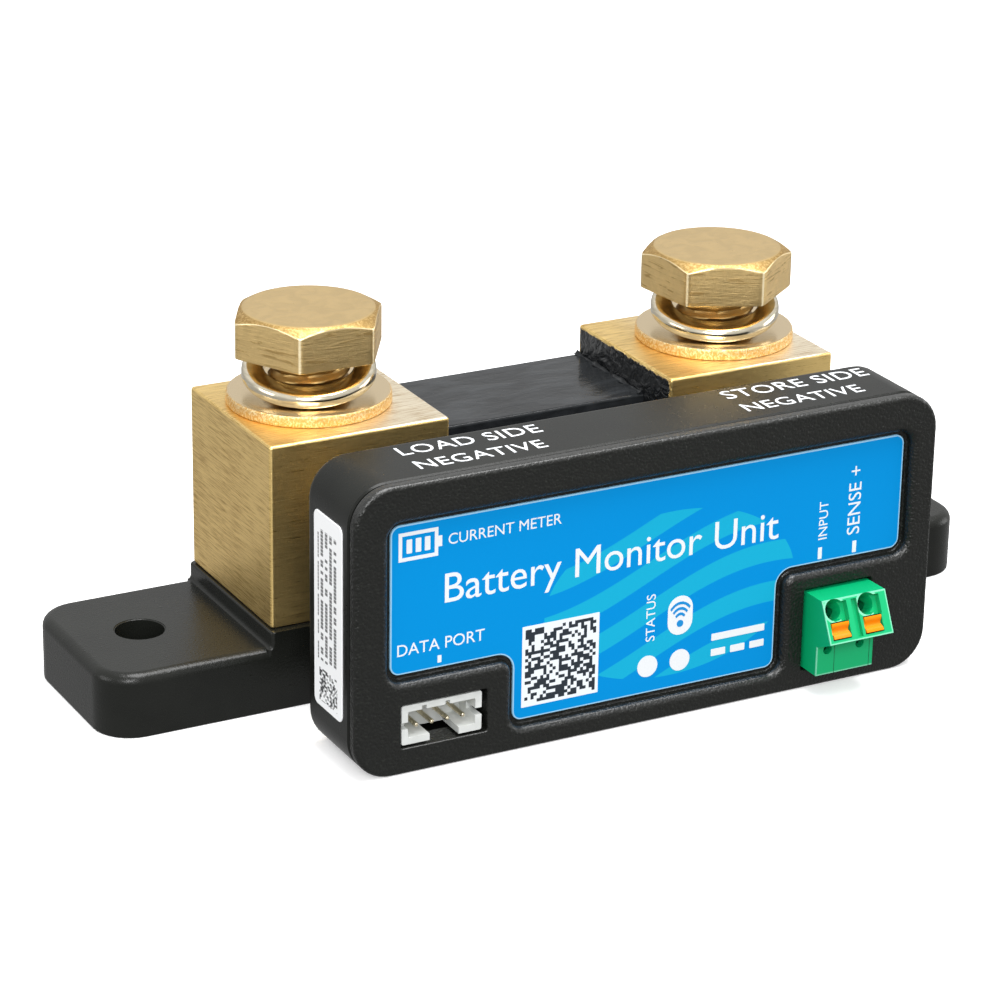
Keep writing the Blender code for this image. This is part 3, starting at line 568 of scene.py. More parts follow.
def brushed_brass(name, low, high):
    """Brushed brass with streaks along X on top and in front, along Y at the ends.

    The top is paler towards the right, a painted reflection of the bright studio above. The face
    towards the plates is covered with black lacquer that ends a little way from its edges, at a
    distance that noise varies.
    """
    net = Net(name)
    x, y, z = net.axes()
    face_x, face_y, face_z = net.facing()
    end = abs(face_x) > 0.7
    top = face_z > 0.7
    front = abs(face_y) > 0.7
    run = x * (1 - end) + y * end
    across = z * (1 - top) + y * top
    apart = end * 31 + top * 17
    hair = net.noise(1.0, 3.0, net.vector(run * 0.30, across * 8.5, apart), 0.65)
    streak = net.noise(1.0, 3.0, net.vector(run * 0.16, across * 4.0, apart + 5), 0.65)
    saw = net.noise(1.0, 3.0, net.vector(run * 0.36, across * 3.6, apart + 9), 0.75)
    cloud = net.noise(0.12, 2.0)
    tone = hair * 1.25 + streak * 0.75 + cloud * 0.3 - 0.58
    tone = tone + top * 0.02 + front * (0.20 - saw.ramp(0.58, 0.72) * 0.40)
    # Painted reflection: towards the right the top turns to the pale brass.
    far = top * (x - low[0]).ramp(2.0, 16.0)
    bright = net.blend(far, tint("brass_light"), tint("brass_pale"))
    metal = net.blend(tone.ramp(0.22, 0.72), tint("brass_dark"), bright)
    ragged = net.noise(0.9, 4.0, roughness=0.7)
    inner = min(abs(low[0]), abs(high[0])) + 0.25
    reach = (high[2] - z).least(y - low[1]).least(high[1] - y)
    coat = (abs(x) < inner) * (abs(face_x) > 0.5) * (reach - ragged * 1.1).ramp(-0.25, -0.05)
    wave = net.noise(0.7, 3.0, distortion=0.6)
    height = hair * 0.8 + streak * 0.5 + front * saw * 0.8
    return net.finish(
        Base_Color=net.blend(coat, metal, tint("lacquer")),
        Metallic=1.0 - coat,
        Roughness=(0.30 + hair * 0.16 - top * 0.02) * (1 - coat) + coat * (0.07 + wave * 0.14),
        Normal=net.bump(height * (1 - coat) * 0.035 + coat * wave * 0.55, 1.0),
    )


def forged_brass(name, ground, axis):
    """Bolt brass: a mottled crown, rolling marks on the sides, pale edges that are partly rubbed
    metal and partly a painted highlight, and painted shade on the shank and, faintly, on the top
    flats.
    """
    net = Net(name)
    x, y, z = net.axes()
    upright = abs(net.facing()[2])
    flat = upright.ramp(0.5, 0.8)
    radius = ((x - axis[0]) ** 2 + (y - axis[1]) ** 2) ** 0.5
    # Painted shade: the shank under the head is darker, where the head and washers shade it.
    shank = radius.ramp(5.4, 6.2, 1.0, 0.0) * (z < axis[2])
    cloud = net.noise(0.5, 4.0, distortion=0.8)
    rolled = net.noise(1.0, 3.0, net.vector(x * 0.20, y * 0.20, z * 2.3), 0.65, 0.5)
    fine = net.noise(3.2, 3.0, roughness=0.6)
    marks = rolled.ramp(0.55, 0.66) * (1 - flat)
    cone = flat * upright.ramp(0.90, 0.97, 1.0, 0.0)
    # Painted highlight, partly rubbed metal: the head's edges turn paler and less metallic.
    edge = (net.wear() + fine * 0.25 - 0.12).ramp(0.62, 0.92)
    # The chamfer's dark flecks are the forged surface's own; the top flats are also made a little
    # darker, painted shade against the strong light from above.
    flecks_and_top_shade = cone * fine.ramp(0.35, 0.6, 0.45, 1.0) + flat * 0.10
    marks_and_shade = (marks * 0.75).most(shank * 0.85).most(flecks_and_top_shade)
    metal = net.blend(cloud.ramp(0.3, 0.7), ground, scaled(ground, 1.12))
    metal = net.blend(marks_and_shade, metal, scaled(ground, (0.50, 0.44, 0.34)))
    return net.finish(
        Base_Color=net.blend(edge, metal, (1.0, 0.86, 0.56, 1.0)),
        Metallic=1.0 - edge * 0.45,
        Roughness=0.24 + fine * 0.12 + (1 - flat) * 0.08 + marks * 0.1 + cone * 0.2,
        Normal=net.bump(fine * 0.35 + rolled * (1 - flat) * 1.2 + cloud * 0.6, 0.045),
    )


def stamped_brass(name, ground, rim_radius, centre):
    """A stamped washer: polished flats and a rough torn rim."""
    net = Net(name)
    x, y, z = net.axes()
    radius = ((x - centre[0]) ** 2 + (y - centre[1]) ** 2) ** 0.5
    rim = radius.ramp(rim_radius - 0.3, rim_radius - 0.1)
    torn = net.noise(1.0, 4.0, net.vector(x * 4.2, y * 4.2, z * 3.2), 0.75)
    fine = net.noise(2.4)
    deep = scaled(ground, (1.0, 0.80, 0.5))
    rough = net.blend(torn.ramp(0.44, 0.62), deep, (1.0, 0.84, 0.52, 1.0))
    return net.finish(
        Base_Color=net.blend(rim, whitened(ground, 0.20), rough),
        Metallic=1.0,
        Roughness=0.17 + fine * 0.08 + rim * 0.2,
        Normal=net.bump(fine * 0.15 + rim * torn * 2.6, 0.05),
    )


def plated_steel(name, ground, rough):
    """Bright plated steel with faint drawing lines."""
    net = Net(name)
    x, y, z = net.axes()
    lines = net.noise(1.0, 3.0, net.vector(x * 0.6, y * 0.6, z * 4.0))
    wave = net.noise(0.7, 2.0)
    return net.finish(
        Base_Color=net.blend(lines.ramp(0.3, 0.7), scaled(ground, 0.8), ground),
        Metallic=1.0,
        Roughness=rough + lines * 0.10,
        Normal=net.bump(lines * 0.3 + wave, 0.012),
    )


def gloss_lacquer(name, ground):
    """Gloss black lacquer, brushed on by hand: slow waves, thick edges and a few specks."""
    net = Net(name)
    x, y, z = net.axes()
    wave = net.noise(1.0, 3.0, net.vector(x * 0.16, y * 0.45, z * 0.4), 0.6, 0.5)
    peel = net.noise(1.6, 2.0)
    specks = net.cells(0.9).ramp(0.05, 0.09, 1.0, 0.0)
    return net.finish(
        Base_Color=net.blend(wave.ramp(0.35, 0.75), ground, scaled(ground, 2.4)),
        Roughness=0.10 + wave * 0.12 + specks * 0.2,
        Specular_IOR_Level=0.24,
        Normal=net.bump(wave * 1.0 + peel * 0.25 + specks * 0.3, 0.10),
    )


def label_film(name, ground, band):
    """Printed film: broad curved bands of a second colour inside an oval part of the ground."""
    net = Net(name)
    x, _, z = net.axes()
    sweep = z - (x * 0.11).sine() * 3.2 - x * 0.10
    bands = ((sweep - 2.0) / 5.2 * 2 * math.pi).sine().ramp(-0.08, 0.08)
    oval = ((x - 3.0) / 17.0) ** 2 + ((z - 15.5) / 10.5) ** 2 < 1.0
    dots = net.noise(9.0, 1.0)
    fleck = net.noise(0.4, 2.0)
    # Painted highlight: a pale blue line along the film's cut edge, where light catches it.
    rim = (net.wear() + fleck * 0.3 - 0.15).ramp(0.45, 0.6)
    printed = net.blend(bands * oval, ground, band)
    return net.finish(
        Base_Color=net.blend(rim * 0.7, printed, (0.42, 0.68, 0.82, 1.0)),
        Roughness=0.34 + fleck * 0.08 + dots * 0.04,
        Specular_IOR_Level=0.08,
        Normal=net.bump(dots * 0.3 + fleck, 0.006),
    )


def printed_white(name, ground):
    """White ink, slightly uneven and a little rougher than the film under it."""
    net = Net(name)
    ink = net.noise(4.0, 2.0)
    return net.finish(
        Base_Color=net.blend(ink, ground, scaled(ground, 0.93)),
        Roughness=0.38 + ink * 0.1,
        Normal=net.bump(ink, 0.003),
    )


def data_sticker(name, low, high):
    """A white sticker with rows of short grey dashes and a patch of random dark dots."""
    net = Net(name)
    _, y, z = net.axes()
    step, pitch, cell = 0.45, 1.15, 0.27
    row = ((y - low[1]) / pitch).floor()
    column = (z / step).floor()
    across = (y - low[1]) / pitch - row
    settings = {"noise_dimensions": "2D"}
    drawn = net.node("ShaderNodeTexWhiteNoise", settings, {"Vector": net.vector(row, column, 0)})
    dash = (across > 0.22) * (across < 0.8) * (z / step - column > 0.16) * (drawn > 0.22)
    field = (z > 12.3) * (z < high[2] - 2.0) * (y > low[1] + 1.1) * (y < high[1] - 1.0)
    dot = net.chance((y / cell).floor(), (z / cell).floor(), 3, 0.5)
    patch = (z > 7.2) * (z < 11.3) * (y > low[1] + 1.2) * (y < high[1] - 1.4)
    ink = dash * field * 0.85 + dot * patch * 0.95
    soft = net.noise(1.5, 2.0)
    return net.finish(
        Base_Color=net.blend(ink, (0.93, 0.94, 0.95, 1.0), (0.02, 0.02, 0.022, 1.0)),
        Roughness=0.42 + soft * 0.08,
        Normal=net.bump(soft, 0.004),
    )


def dot_code(name):
    """A white square filled with random dark cells inside a pale border one cell wide."""
    net = Net(name)
    x, _, z = net.axes()
    cell = (CODE_HIGH[0] - CODE_LOW[0]) / CODE_CELLS
    last = CODE_CELLS - 1.5
    column = ((x - CODE_LOW[0]) / cell).floor()
    row = ((z - CODE_LOW[1]) / cell).floor()
    inside = (column > 0.5) * (column < last) * (row > 0.5) * (row < last)
    dark = net.chance(column, row, 7, 0.47) * inside
    soft = net.noise(6.0, 1.0)
    return net.finish(
        Base_Color=net.blend(dark, (0.78, 0.83, 0.88, 1.0), (0.012, 0.02, 0.03, 1.0)),
        Roughness=0.36 + soft * 0.06,
        Normal=net.bump(soft, 0.003),
    )


def bright_plastic(name, ground, rough, relief, pale, shine=0.5):
    """Coloured moulded plastic, a little paler in clouds, with a fine satin grain."""
    net = Net(name)
    cloud = net.noise(0.5)
    fine = net.noise(5.0)
    return net.finish(
        Base_Color=net.blend(cloud.ramp(0.35, 0.9), ground, whitened(ground, pale)),
        Roughness=rough + fine * 0.10,
        Specular_IOR_Level=shine,
        Normal=net.bump(fine, relief),
    )


def plug_plastic(name, ground, low, high, poles):
    """Green moulded plastic with paler edges, a painted highlight, and two fine parting lines on
    the foot.

    A point's depth is measured down the entry face and its height out of it. An edge is pale where
    the root of (height squared plus the distance to the border or to a funnel's mouth squared) is
    small. The foot's front edges are found in the same way from Y with X, and from Y with Z.
    """
    net = Net(name)
    x, y, z = net.axes()
    from_top = (y - ENTRY_TOP[0], z - ENTRY_TOP[1])
    down = from_top[0] * ENTRY_DOWN[0] + from_top[1] * ENTRY_DOWN[1]
    height = from_top[0] * ENTRY_OUT[0] + from_top[1] * ENTRY_OUT[1]
    border = (x - low[0]).least(high[0] - x).least(down).least(ENTRY_LENGTH - down)
    for pole in poles:
        mouth = ((x - pole) ** 2 + (down - MOUTH_DEPTH) ** 2) ** 0.5 - MOUTH_RADIUS
        border = border.least(abs(mouth))
    forward = (y - FOOT_FRONT) ** 2
    above = z > FOOT_TOP + 0.1
    near_foot = (forward + (x - low[0]) ** 2 + above).least(forward + (z - low[2]) ** 2)
    distance = (height**2 + border**2).least(near_foot) ** 0.5
    fine = net.noise(5.0)
    # Painted highlight: the plastic turns pale along its edges.
    pale_edge_highlight = (distance + fine * 0.08).ramp(0.12, 0.25, 0.85, 0.0)
    lines = (abs(x - low[0] - 2.55) < 0.05) + (abs(high[0] - x - 1.4) < 0.05)
    shade = net.blend(pale_edge_highlight, ground, whitened(ground, (0.22, 0.42, 0.34)))
    return net.finish(
        Base_Color=net.blend(lines * (z < PARTING_TOP), shade, scaled(ground, 0.3)),
        Roughness=0.32 + fine * 0.10,
        Specular_IOR_Level=0.4,
        Normal=net.bump(fine, 0.006),
    )


def gold_plate(name, ground):
    """Gold-plated contact metal with fine forming lines."""
    net = Net(name)
    x, y, z = net.axes()
    lines = net.noise(1.0, 3.0, net.vector(x * 6.0, y * 0.8, z * 6.0))
    return net.finish(
        Base_Color=net.blend(lines, scaled(ground, 0.8), ground),
        Metallic=1.0,
        Roughness=0.2 + lines * 0.12,
        Normal=net.bump(lines, 0.008),
    )


def circuit_board(name, ground):
    """Solder mask over copper tracks: lighter lines on a square grid."""
    net = Net(name)
    x, _, z = net.axes()
    bend = (net.noise(0.18, 0.0) * 5).floor()
    lane = (x + bend) / 0.9
    cross = (z + bend) / 1.1
    zone = net.noise(0.12, 0.0) > 0.5
    track = (lane - lane.floor()).ramp(0.28, 0.34) * zone
    track = track + (cross - cross.floor()).ramp(0.72, 0.78) * (1 - zone)
    copper = (*[value * 1.9 + 0.01 for value in ground[:3]], 1.0)
    return net.finish(
        Base_Color=net.blend(track * 0.8, ground, copper),
        Roughness=0.30 + track * 0.08,
        Normal=net.bump(track, 0.03),
    )


# Stage -------------------------------------------------------------------------------------------


class ShuntOperator(bpy.types.Operator):
    """Base of the shunt's operators."""

    bl_options = {"REGISTER", "UNDO"}


class SHUNT_OT_stage(ShuntOperator):
    """Add the floor, the soft studio light and the camera"""

    bl_idname = "shunt.stage"
    bl_label = "Stage"

    def execute(self, context):
        scene = context.scene
        reach = 4000.0
        edge = np.array(rectangle((-reach, -reach), (reach, reach)))
        floor = mesh_object("floor", along("Z", edge, 0.0), [[0, 1, 2, 3]])
        net = Net("pale_floor")
        paint = net.finish(
            Base_Color=net.blend(net.noise(0.004, 2.0), (*[0.80] * 3, 1.0), (*[0.82] * 3, 1.0)),
            Roughness=0.8,
            Emission_Color=(1.0, 1.0, 1.0, 1.0),
            Emission_Strength=0.30,
        )
        floor.data.materials.append(paint)
        floor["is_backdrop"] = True
        floor.visible_glossy = False
        floor.visible_diffuse = False
        self.light("key_light", (-0.42, -0.80, 0.52), 0.45, 7.0)
        self.light("top_light", (0.12, -0.12, 0.98), 0.6, 12.0)
        self.light("left_light", (-0.95, 0.10, 0.30), 0.4, 1.6)
        self.light("right_light", (0.95, -0.20, 0.10), 0.5, 2.0)
        self.world(scene)
        scene.view_settings.view_transform = "Standard"
        self.camera(scene)
        return {"FINISHED"}

    def world(self, scene):
        """A pale sky that darkens towards and below the horizon."""
        world = bpy.data.worlds.new("studio")
        world.use_nodes = True
        scene.world = world
        tree = world.node_tree
        background = tree.nodes["Background"]
        background.inputs["Color"].default_value = (1.0, 1.0, 1.0, 1.0)
        sky = tree.nodes.new("ShaderNodeTexCoord")
        split = tree.nodes.new("ShaderNodeSeparateXYZ")
        tree.links.new(sky.outputs["Generated"], split.inputs[0])
        fade = tree.nodes.new("ShaderNodeValToRGB")
        stops = fade.color_ramp.elements
        stops[0].color = (0.36, 0.36, 0.36, 1.0)
        stops[1].color = (0.9, 0.9, 0.9, 1.0)
        for place, shade in ((0.42, 0.50), (0.5, 0.50), (0.56, 0.6), (0.75, 0.8)):
            stops.new(place).color = (shade, shade, shade, 1.0)
        level = tree.nodes.new("ShaderNodeMapRange")
        level.inputs["From Min"].default_value = -1.0
        tree.links.new(split.outputs["Z"], level.inputs["Value"])
        tree.links.new(level.outputs["Result"], fade.inputs["Fac"])
        tree.links.new(fade.outputs["Color"], background.inputs["Strength"])

    def light(self, name, place, side, power):
        """A square soft light aimed at the middle of the shunt."""
        lamp = bpy.data.lights.new(name, "AREA")
        lamp.shape = "SQUARE"
        lamp.size = side
        lamp.energy = power
        holder = bpy.data.objects.new(name, lamp)
        holder.location = place
        aim = Vector((0.0, -0.01, 0.02)) - holder.location
        holder.rotation_euler = aim.to_track_quat("-Z", "Y").to_euler()
        bpy.context.scene.collection.objects.link(holder)

    def camera(self, scene):
        """A long-lens camera, low and to the left of the front."""
        azimuth, elevation, roll = np.radians((-28.268, 21.736, 0.951))
        target = Vector((8.906, 20.663, 6.981)) * MM
        distance = 478.383 * MM
        level = math.cos(elevation)
        back = Vector((math.sin(azimuth) * level, -math.cos(azimuth) * level, math.sin(elevation)))
        right = (-back).cross(Vector((0.0, 0.0, 1.0))).normalized()
        up = right.cross(-back)
        tilted_right = right * math.cos(roll) + up * math.sin(roll)
        tilted_up = -right * math.sin(roll) + up * math.cos(roll)
        turn = Matrix((tilted_right, tilted_up, back)).transposed()
        lens = bpy.data.cameras.new("camera")
        lens.sensor_width = 36.0
        lens.lens = 131.0287
        camera = bpy.data.objects.new("camera", lens)
        camera.matrix_world = Matrix.Translation(target + back * distance) @ turn.to_4x4()
        scene.collection.objects.link(camera)
        scene.camera = camera


# Base, blocks and plates -------------------------------------------------------------------------


def bolt_axis(side):
    """Middle of a bolt, from the flat washer under it."""
    low, high = span(f"{side}_flat_washer")
    return ((low + high) / 2)[:2]


class SHUNT_OT_base(ShuntOperator):
    """Mould the base with its ears, step and bridge"""

    bl_idname = "shunt.base"
    bl_label = "Base"

    def execute(self, context):
        size = sizes()
        low, high = span("mounting_base")
        back = high[1]
        edge = size["base_edge"]
        top = size["base_height"]
        foot = 0.25
        body = rectangle((low[0], -back), (high[0], back))
        profile = path(
            (-foot, 0.0),
            fillet((-foot, 0.0), (0.0, 0.3), 0, 3),
            fillet((0.0, top - edge), (-edge, top), 1),
        )
        corner = size["base_corner"]
        plate = prism("base_body", lambda margin: outline(body, corner, margin), profile)
        combine(plate, [self.step(back, top), self.bridge(low[1])], "UNION")
        holes = []
        chamfer = 0.14
        radius = size["ear_hole"]
        mouth = fillet((radius, top - chamfer), (radius + chamfer, top), 0)
        profile = path((radius, -2.0), mouth, (radius + chamfer, top + 3))
        for sign in (-1, 1):
            holes.append(lathe(f"ear_hole_{sign}", profile, (sign * (high[0] - 9.3), 0.2, 0)))
        for number in range(1, 5):
            screw_low, screw_high = span(f"block_screw_{number}")
            middle = (screw_low + screw_high) / 2
            radius = (screw_high - screw_low)[0] / 2 + 0.25
            holes.append(lathe(f"pocket_{number}", [(radius, -2.0), (radius, 3.3)], middle))
        combine(plate, holes)
        soften(plate, angle=30)
        finish = moulded_plastic("base_plastic", tint("plastic"), 3.0, 0.030, (0.22, 0.33), 0.30)
        settle(plate, finish, "shunt", "black_plastic", "mounting_base")
        return {"FINISHED"}

    def step(self, back, top):
        """The raised part under the blocks, with a small fillet where it rises from the ears."""
        block_low, block_high = span("left_terminal_block")
        reach = -block_low[0] + 0.4
        step_back = block_high[1] + 0.3
        step_top = block_low[2] - FRAME_GAP
        root = 0.45

        def shape(margin):
            return outline(rectangle((-reach - margin, -back), (reach + margin, step_back)), 0.5)

        profile = path(
            (root, 2.0),
            (root, top - 0.05),
            fillet((root, top - 0.05), (0.0, top + 0.7), 0),
            (0.0, step_top - 0.3),
            fillet((0.0, step_top - 0.3), (-0.25, step_top), 1, 4),
        )
        return prism("base_step", shape, profile)

    def bridge(self, front):
        """The low slab that reaches forwards under the case."""
        slab = rectangle((-30, front), (30, 0))
        profile = path((0.0, 0.0), fillet((0.0, 4.2), (-0.8, 5.0), 1))
        return prism("base_bridge", lambda margin: outline(slab, 1.0, margin), profile)


class SHUNT_OT_blocks(ShuntOperator):
    """Cut the two brass terminal blocks and drill them for their bolts"""

    bl_idname = "shunt.blocks"
    bl_label = "Terminal blocks"

    def execute(self, context):
        edge = sizes()["block_edge"]
        for side in SIDES:
            node = f"{side}_terminal_block"
            low, high = span(node)
            floor = low[2] - FRAME_GAP + TOUCH
            top = high[2]
            profile = path(
                fillet((-edge, floor), (0.0, floor + edge), 0, 4),
                fillet((0.0, top - edge), (-edge, top), 1, 4),
            )
            square = rectangle(low[:2], high[:2])
            block = prism(f"{side}_block", lambda margin: outline(square, edge, margin, 5), profile)
            radius, mouth = 5.02, 5.6
            hole = path((radius, 12.5), (radius, top - 0.5), (mouth, top + 0.08), (mouth, top + 3))
            combine(block, [lathe(f"{side}_bore", hole, (*bolt_axis(side), 0.0))])
            soften(block, angle=30)
            settle(block, brushed_brass(f"{side}_block_brass", low, high), "shunt", "brass", node)
        return {"FINISHED"}


class SHUNT_OT_plates(ShuntOperator):
    """Lay the lacquered resistor plates between the blocks, with a bead where they are brazed in"""

    bl_idname = "shunt.plates"
    bl_label = "Resistor plates"

    def execute(self, context):
        face = -span("left_terminal_block")[1][0]
        reach = face + 0.5
        lower, upper = 0.3, 0.4
        for number in range(1, 5):
            node = f"resistor_plate_{number}"
            low, high = span(node)
            sheet = rectangle((-reach, low[1]), (reach, high[1]))
            profile = path(
                fillet((-lower, low[2]), (0.0, low[2] + lower), 0, 4),
                fillet((0.0, high[2] - upper), (-upper, high[2]), 1, 4),
            )
            name = f"plate_{number}"
            plate = prism(name, lambda margin: outline(sheet, lower, margin, 4), profile)
            soften(plate, angle=30)
            material = gloss_lacquer(f"plate_{number}_lacquer", tint("lacquer"))
            settle(plate, material, "shunt", "lacquer", node)
            for side, sign in zip(SIDES, (-1, 1)):
                bead = self.bead(f"braze_{side}_{number}", sign, face, low, high, number)
                settle(bead, material, "shunt", "lacquer")
        return {"FINISHED"}

    def bead(self, name, sign, face, low, high, number):
        """A lumpy fillet along the joint of plate and block.

        Its section is a hollow quarter round, carried along Y over the plate's upper side. With n
        as the plate's number, its radius is 0.5 + 0.2 sin(1.1 y + n) + 0.12 sin(2.7 y + 2 n).
        """
        run = np.linspace(low[1] + 0.1, high[1] - 0.1, 70)[:, None]
        radius = 0.5 + 0.2 * np.sin(1.1 * run + number) + 0.12 * np.sin(2.7 * run + 2 * number)
        turn = np.linspace(math.pi / 2, 0.0, 7)
        hollow = 1 - 0.62 * np.stack([np.sin(turn), np.cos(turn)], axis=1)
        hollow = np.vstack([[0.0, 0.0], hollow])
        x = sign * (face - hollow[:, 0] * radius)
        z = high[2] - 0.20 + hollow[:, 1] * radius
        y = np.broadcast_to(run, x.shape)
        return soften(loft(name, np.stack([x, y, z], axis=-1)), angle=60)


# Bolts and washers -------------------------------------------------------------------------------


class SHUNT_OT_bolts(ShuntOperator):
    """Forge the hexagon bolts and roll their threads"""

    bl_idname = "shunt.bolts"
    bl_label = "Bolts"

    columns: IntProperty(name="Columns", description="Columns round each bolt", default=96, min=24)

    def execute(self, context):
        for side in SIDES:
            bolt = soften(self.bolt(side), angle=48)
            axis = (*bolt_axis(side), span(f"{side}_bolt")[1][2] - sizes()["head_height"] + 0.1)
            material = forged_brass(f"{side}_bolt_brass", tint("bolt_brass"), axis)
            settle(bolt, material, f"{side}_bolt", "bolt_brass", f"{side}_bolt")
        return {"FINISHED"}

    def bolt(self, side):
        """A hexagon head and a threaded shank as one surface of turn and level.

        The head's radius is apothem / cos(a), where a is the angle from the middle of a flat, held
        just short of the corner. Its crown falls from the flat's edge as a 30 degree cone, so that
        the cone's level at the head's radius gives the curved upper edge of each flat. The shank's
        radius dips by a rounded triangle wave of (level / pitch - turn), which is a right-hand
        thread.
        """
        size = sizes()
        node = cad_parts[f"{side}_bolt"]
        axis = bolt_axis(side)
        points = np.empty(len(node.data.vertices) * 3, np.float32)
        node.data.vertices.foreach_get("co", points)
        points = points.reshape(-1, 3) / MM
        flat_points = points[:, :2] - axis
        reach = np.hypot(flat_points[:, 0], flat_points[:, 1])
        corner = reach.max()
        first = flat_points[reach.argmax()]
        apothem = corner * math.cos(math.pi / 6)
        low, high = span(f"{side}_bolt")
        top = high[2]
        bottom = top - size["head_height"]
        start = math.atan2(first[1], first[0])
        turn = start + np.linspace(0.0, 2 * math.pi, self.columns, endpoint=False)
        from_flat = (turn - start) % (math.pi / 3) - math.pi / 6
        hexagon = np.minimum(apothem / np.cos(from_flat), corner * 0.988)
        crown = apothem - 0.45
        slope = math.tan(math.radians(30))
        rings = [
            (crown * 0.35 + 0 * turn, top + 0 * turn),
            (crown - 0.35 + 0 * turn, top + 0 * turn),
            (crown - 0.12 + 0 * turn, top - 0.02 + 0 * turn),
            (crown + 0.12 + 0 * turn, top - 0.09 + 0 * turn),
        ]
        for share in (0.3, 0.6, 0.9):
            radius = crown + 0.12 + (hexagon - crown - 0.12) * share
            rings.append((radius, top - (radius - crown) * slope - 0.02))
        edge = top - (hexagon - crown) * slope
        rings += [
            (hexagon - 0.03, edge - 0.07),
            (hexagon, edge - 0.26),
            (hexagon, (edge + bottom) / 2),
            (hexagon, bottom + 0.22 + 0 * turn),
            (hexagon - 0.05, bottom + 0.06 + 0 * turn),
            (hexagon - 0.22, bottom + 0 * turn),
            (6.4 + 0 * turn, bottom + 0 * turn),
            (5.3 + 0 * turn, bottom - 0.03 + 0 * turn),
            (5.0 + 0 * turn, bottom - 0.3 + 0 * turn),
        ]
        levels = np.arange(bottom - 0.5, low[2] + 0.02, -size["thread_pitch"] / 9)
        for level in levels:
            wave = (level / size["thread_pitch"] - turn / (2 * math.pi)) % 1.0
            dip = np.clip(1.25 * (1 - np.abs(2 * wave - 1)) - 0.12, 0.0, 1.0)
            entry = min((level - low[2]) / 1.2, 1.0)
            radius = 4.95 - dip * size["thread_depth"] * min((bottom - 0.5 - level) / 0.8, 1.0)
            rings.append((np.minimum(radius, 3.9 + 1.05 * entry), level + 0 * turn))
        radius = np.stack([ring[0] for ring in rings])
        height = np.stack([ring[1] for ring in rings])
        x = axis[0] + radius * np.cos(turn)
        y = axis[1] + radius * np.sin(turn)
        # Pale edges round the head's rims and down its corners: partly rubbed metal, partly painted
        # highlight.
        wear = np.zeros_like(radius)
        wear[7] = 1.0
        wear[12] = 0.8
        wear[7:13, :: self.columns // 6] = 1.0
        bolt = loft(f"{side}_hex_bolt", np.stack([x, y, height], axis=-1))
        return mark_rings(bolt, wear.ravel())


class SHUNT_OT_washers(ShuntOperator):
    """Stamp the flat washers and coil the tilted spring washers"""

    bl_idname = "shunt.washers"
    bl_label = "Washers"

    def execute(self, context):
        for side in SIDES:
            axis = bolt_axis(side)
            node = f"{side}_flat_washer"
            low, high = span(node)
            radius = (high - low)[0] / 2
            bottom = low[2] - FRAME_GAP + TOUCH
            profile = path(
                (5.25, bottom + 0.1),
                (5.35, bottom),
                (radius - 0.15, bottom),
                (radius, bottom + 0.2),
                (radius - 0.02, high[2] - 0.55),
                fillet((radius - 0.05, high[2] - 0.3), (radius - 0.35, high[2]), 1, 4),
                (5.6, high[2]),
                (5.25, high[2] - 0.2),
            )
            flat = lathe(f"{side}_washer_flat", profile, (*axis, 0), 96, loop=True)
            soften(flat, angle=50)
            material = stamped_brass(f"{side}_washer_brass", tint("bolt_brass"), radius, axis)
            settle(flat, material, f"{side}_washers", "bolt_brass", node)
            ring = soften(self.spring(side, axis, high[2]), angle=50)
            material = plated_steel(f"{side}_washer_steel", tint("chrome"), 0.12)
            settle(ring, material, f"{side}_washers", "steel", f"{side}_spring_washer")
        return {"FINISHED"}

    def spring(self, side, axis, rest):
        """A split ring, tilted so that its front rests on the flat washer and its back on the head.

        Its section is a rounded rectangle carried round a circle. The two ends stand a little above
        and below each other, as s * offset for s from -1 to 1 along the ring, and the whole ring is
        turned about a level line by the tilt.
        """
        size = sizes()
        tilt = size["tilt"]
        thickness = size["spring_thickness"]
        room = span(f"{side}_bolt")[1][2] - size["head_height"] - rest
        middle = rest + room / 2
        corners = rectangle((5.45, -thickness / 2), (8.1, thickness / 2))
        section = outline(corners, (0.28, 0.35, 0.80, 0.28), 0.0, 4)
        share = np.linspace(-1.0, 1.0, 121)
        turn = share * math.radians(176.5)
        lift = 0.10 * np.sign(share) * np.abs(share) ** 3
        radial = section[None, :, 0]
        x = radial * np.cos(turn)[:, None]
        y = radial * np.sin(turn)[:, None]
        z = section[None, :, 1] + lift[:, None]
        low_x = x * math.cos(tilt) + z * math.sin(tilt)
        low_z = z * math.cos(tilt) - x * math.sin(tilt)
        heading = math.radians(-118.5)
        world_x = axis[0] + low_x * math.cos(heading) - y * math.sin(heading)
        world_y = axis[1] + low_x * math.sin(heading) + y * math.cos(heading)
        return loft(f"{side}_washer_spring", np.stack([world_x, world_y, middle + low_z], axis=-1))


# Case, cover and labels --------------------------------------------------------------------------


def case_shape(margin):
    """The case's outline in X and Z, moved outwards by the margin."""
    low, high = span("rear_case")
    corners = rectangle((low[0], low[2]), (high[0], high[2]))
    return outline(corners, sizes()["case_corner"], margin, 10)


def label_shape(margin):
    """The label's outline in X and Z: a rectangle with two lower corners cut out."""
    low, high = span("front_label")
    data_high = span("data_socket_shell")[1]
    plug_low, plug_high = span("plug_housing")
    data_x = data_high[0] + 4.5
    data_z = data_high[2] + 3.6
    plug_x = plug_low[0] - 3.75
    plug_z = plug_high[2] + 3.05
    corners = [
        (low[0], data_z),
        (data_x, data_z),
        (data_x, low[2]),
        (plug_x, low[2]),
        (plug_x, plug_z),
        (high[0], plug_z),
        (high[0], high[2]),
        (low[0], high[2]),
    ]
    corner = sizes()["label_corner"]
    radii = np.full(8, corner)
    radii[[1, 4]] = corner + 0.9
    return outline(corners, radii, margin, 8)


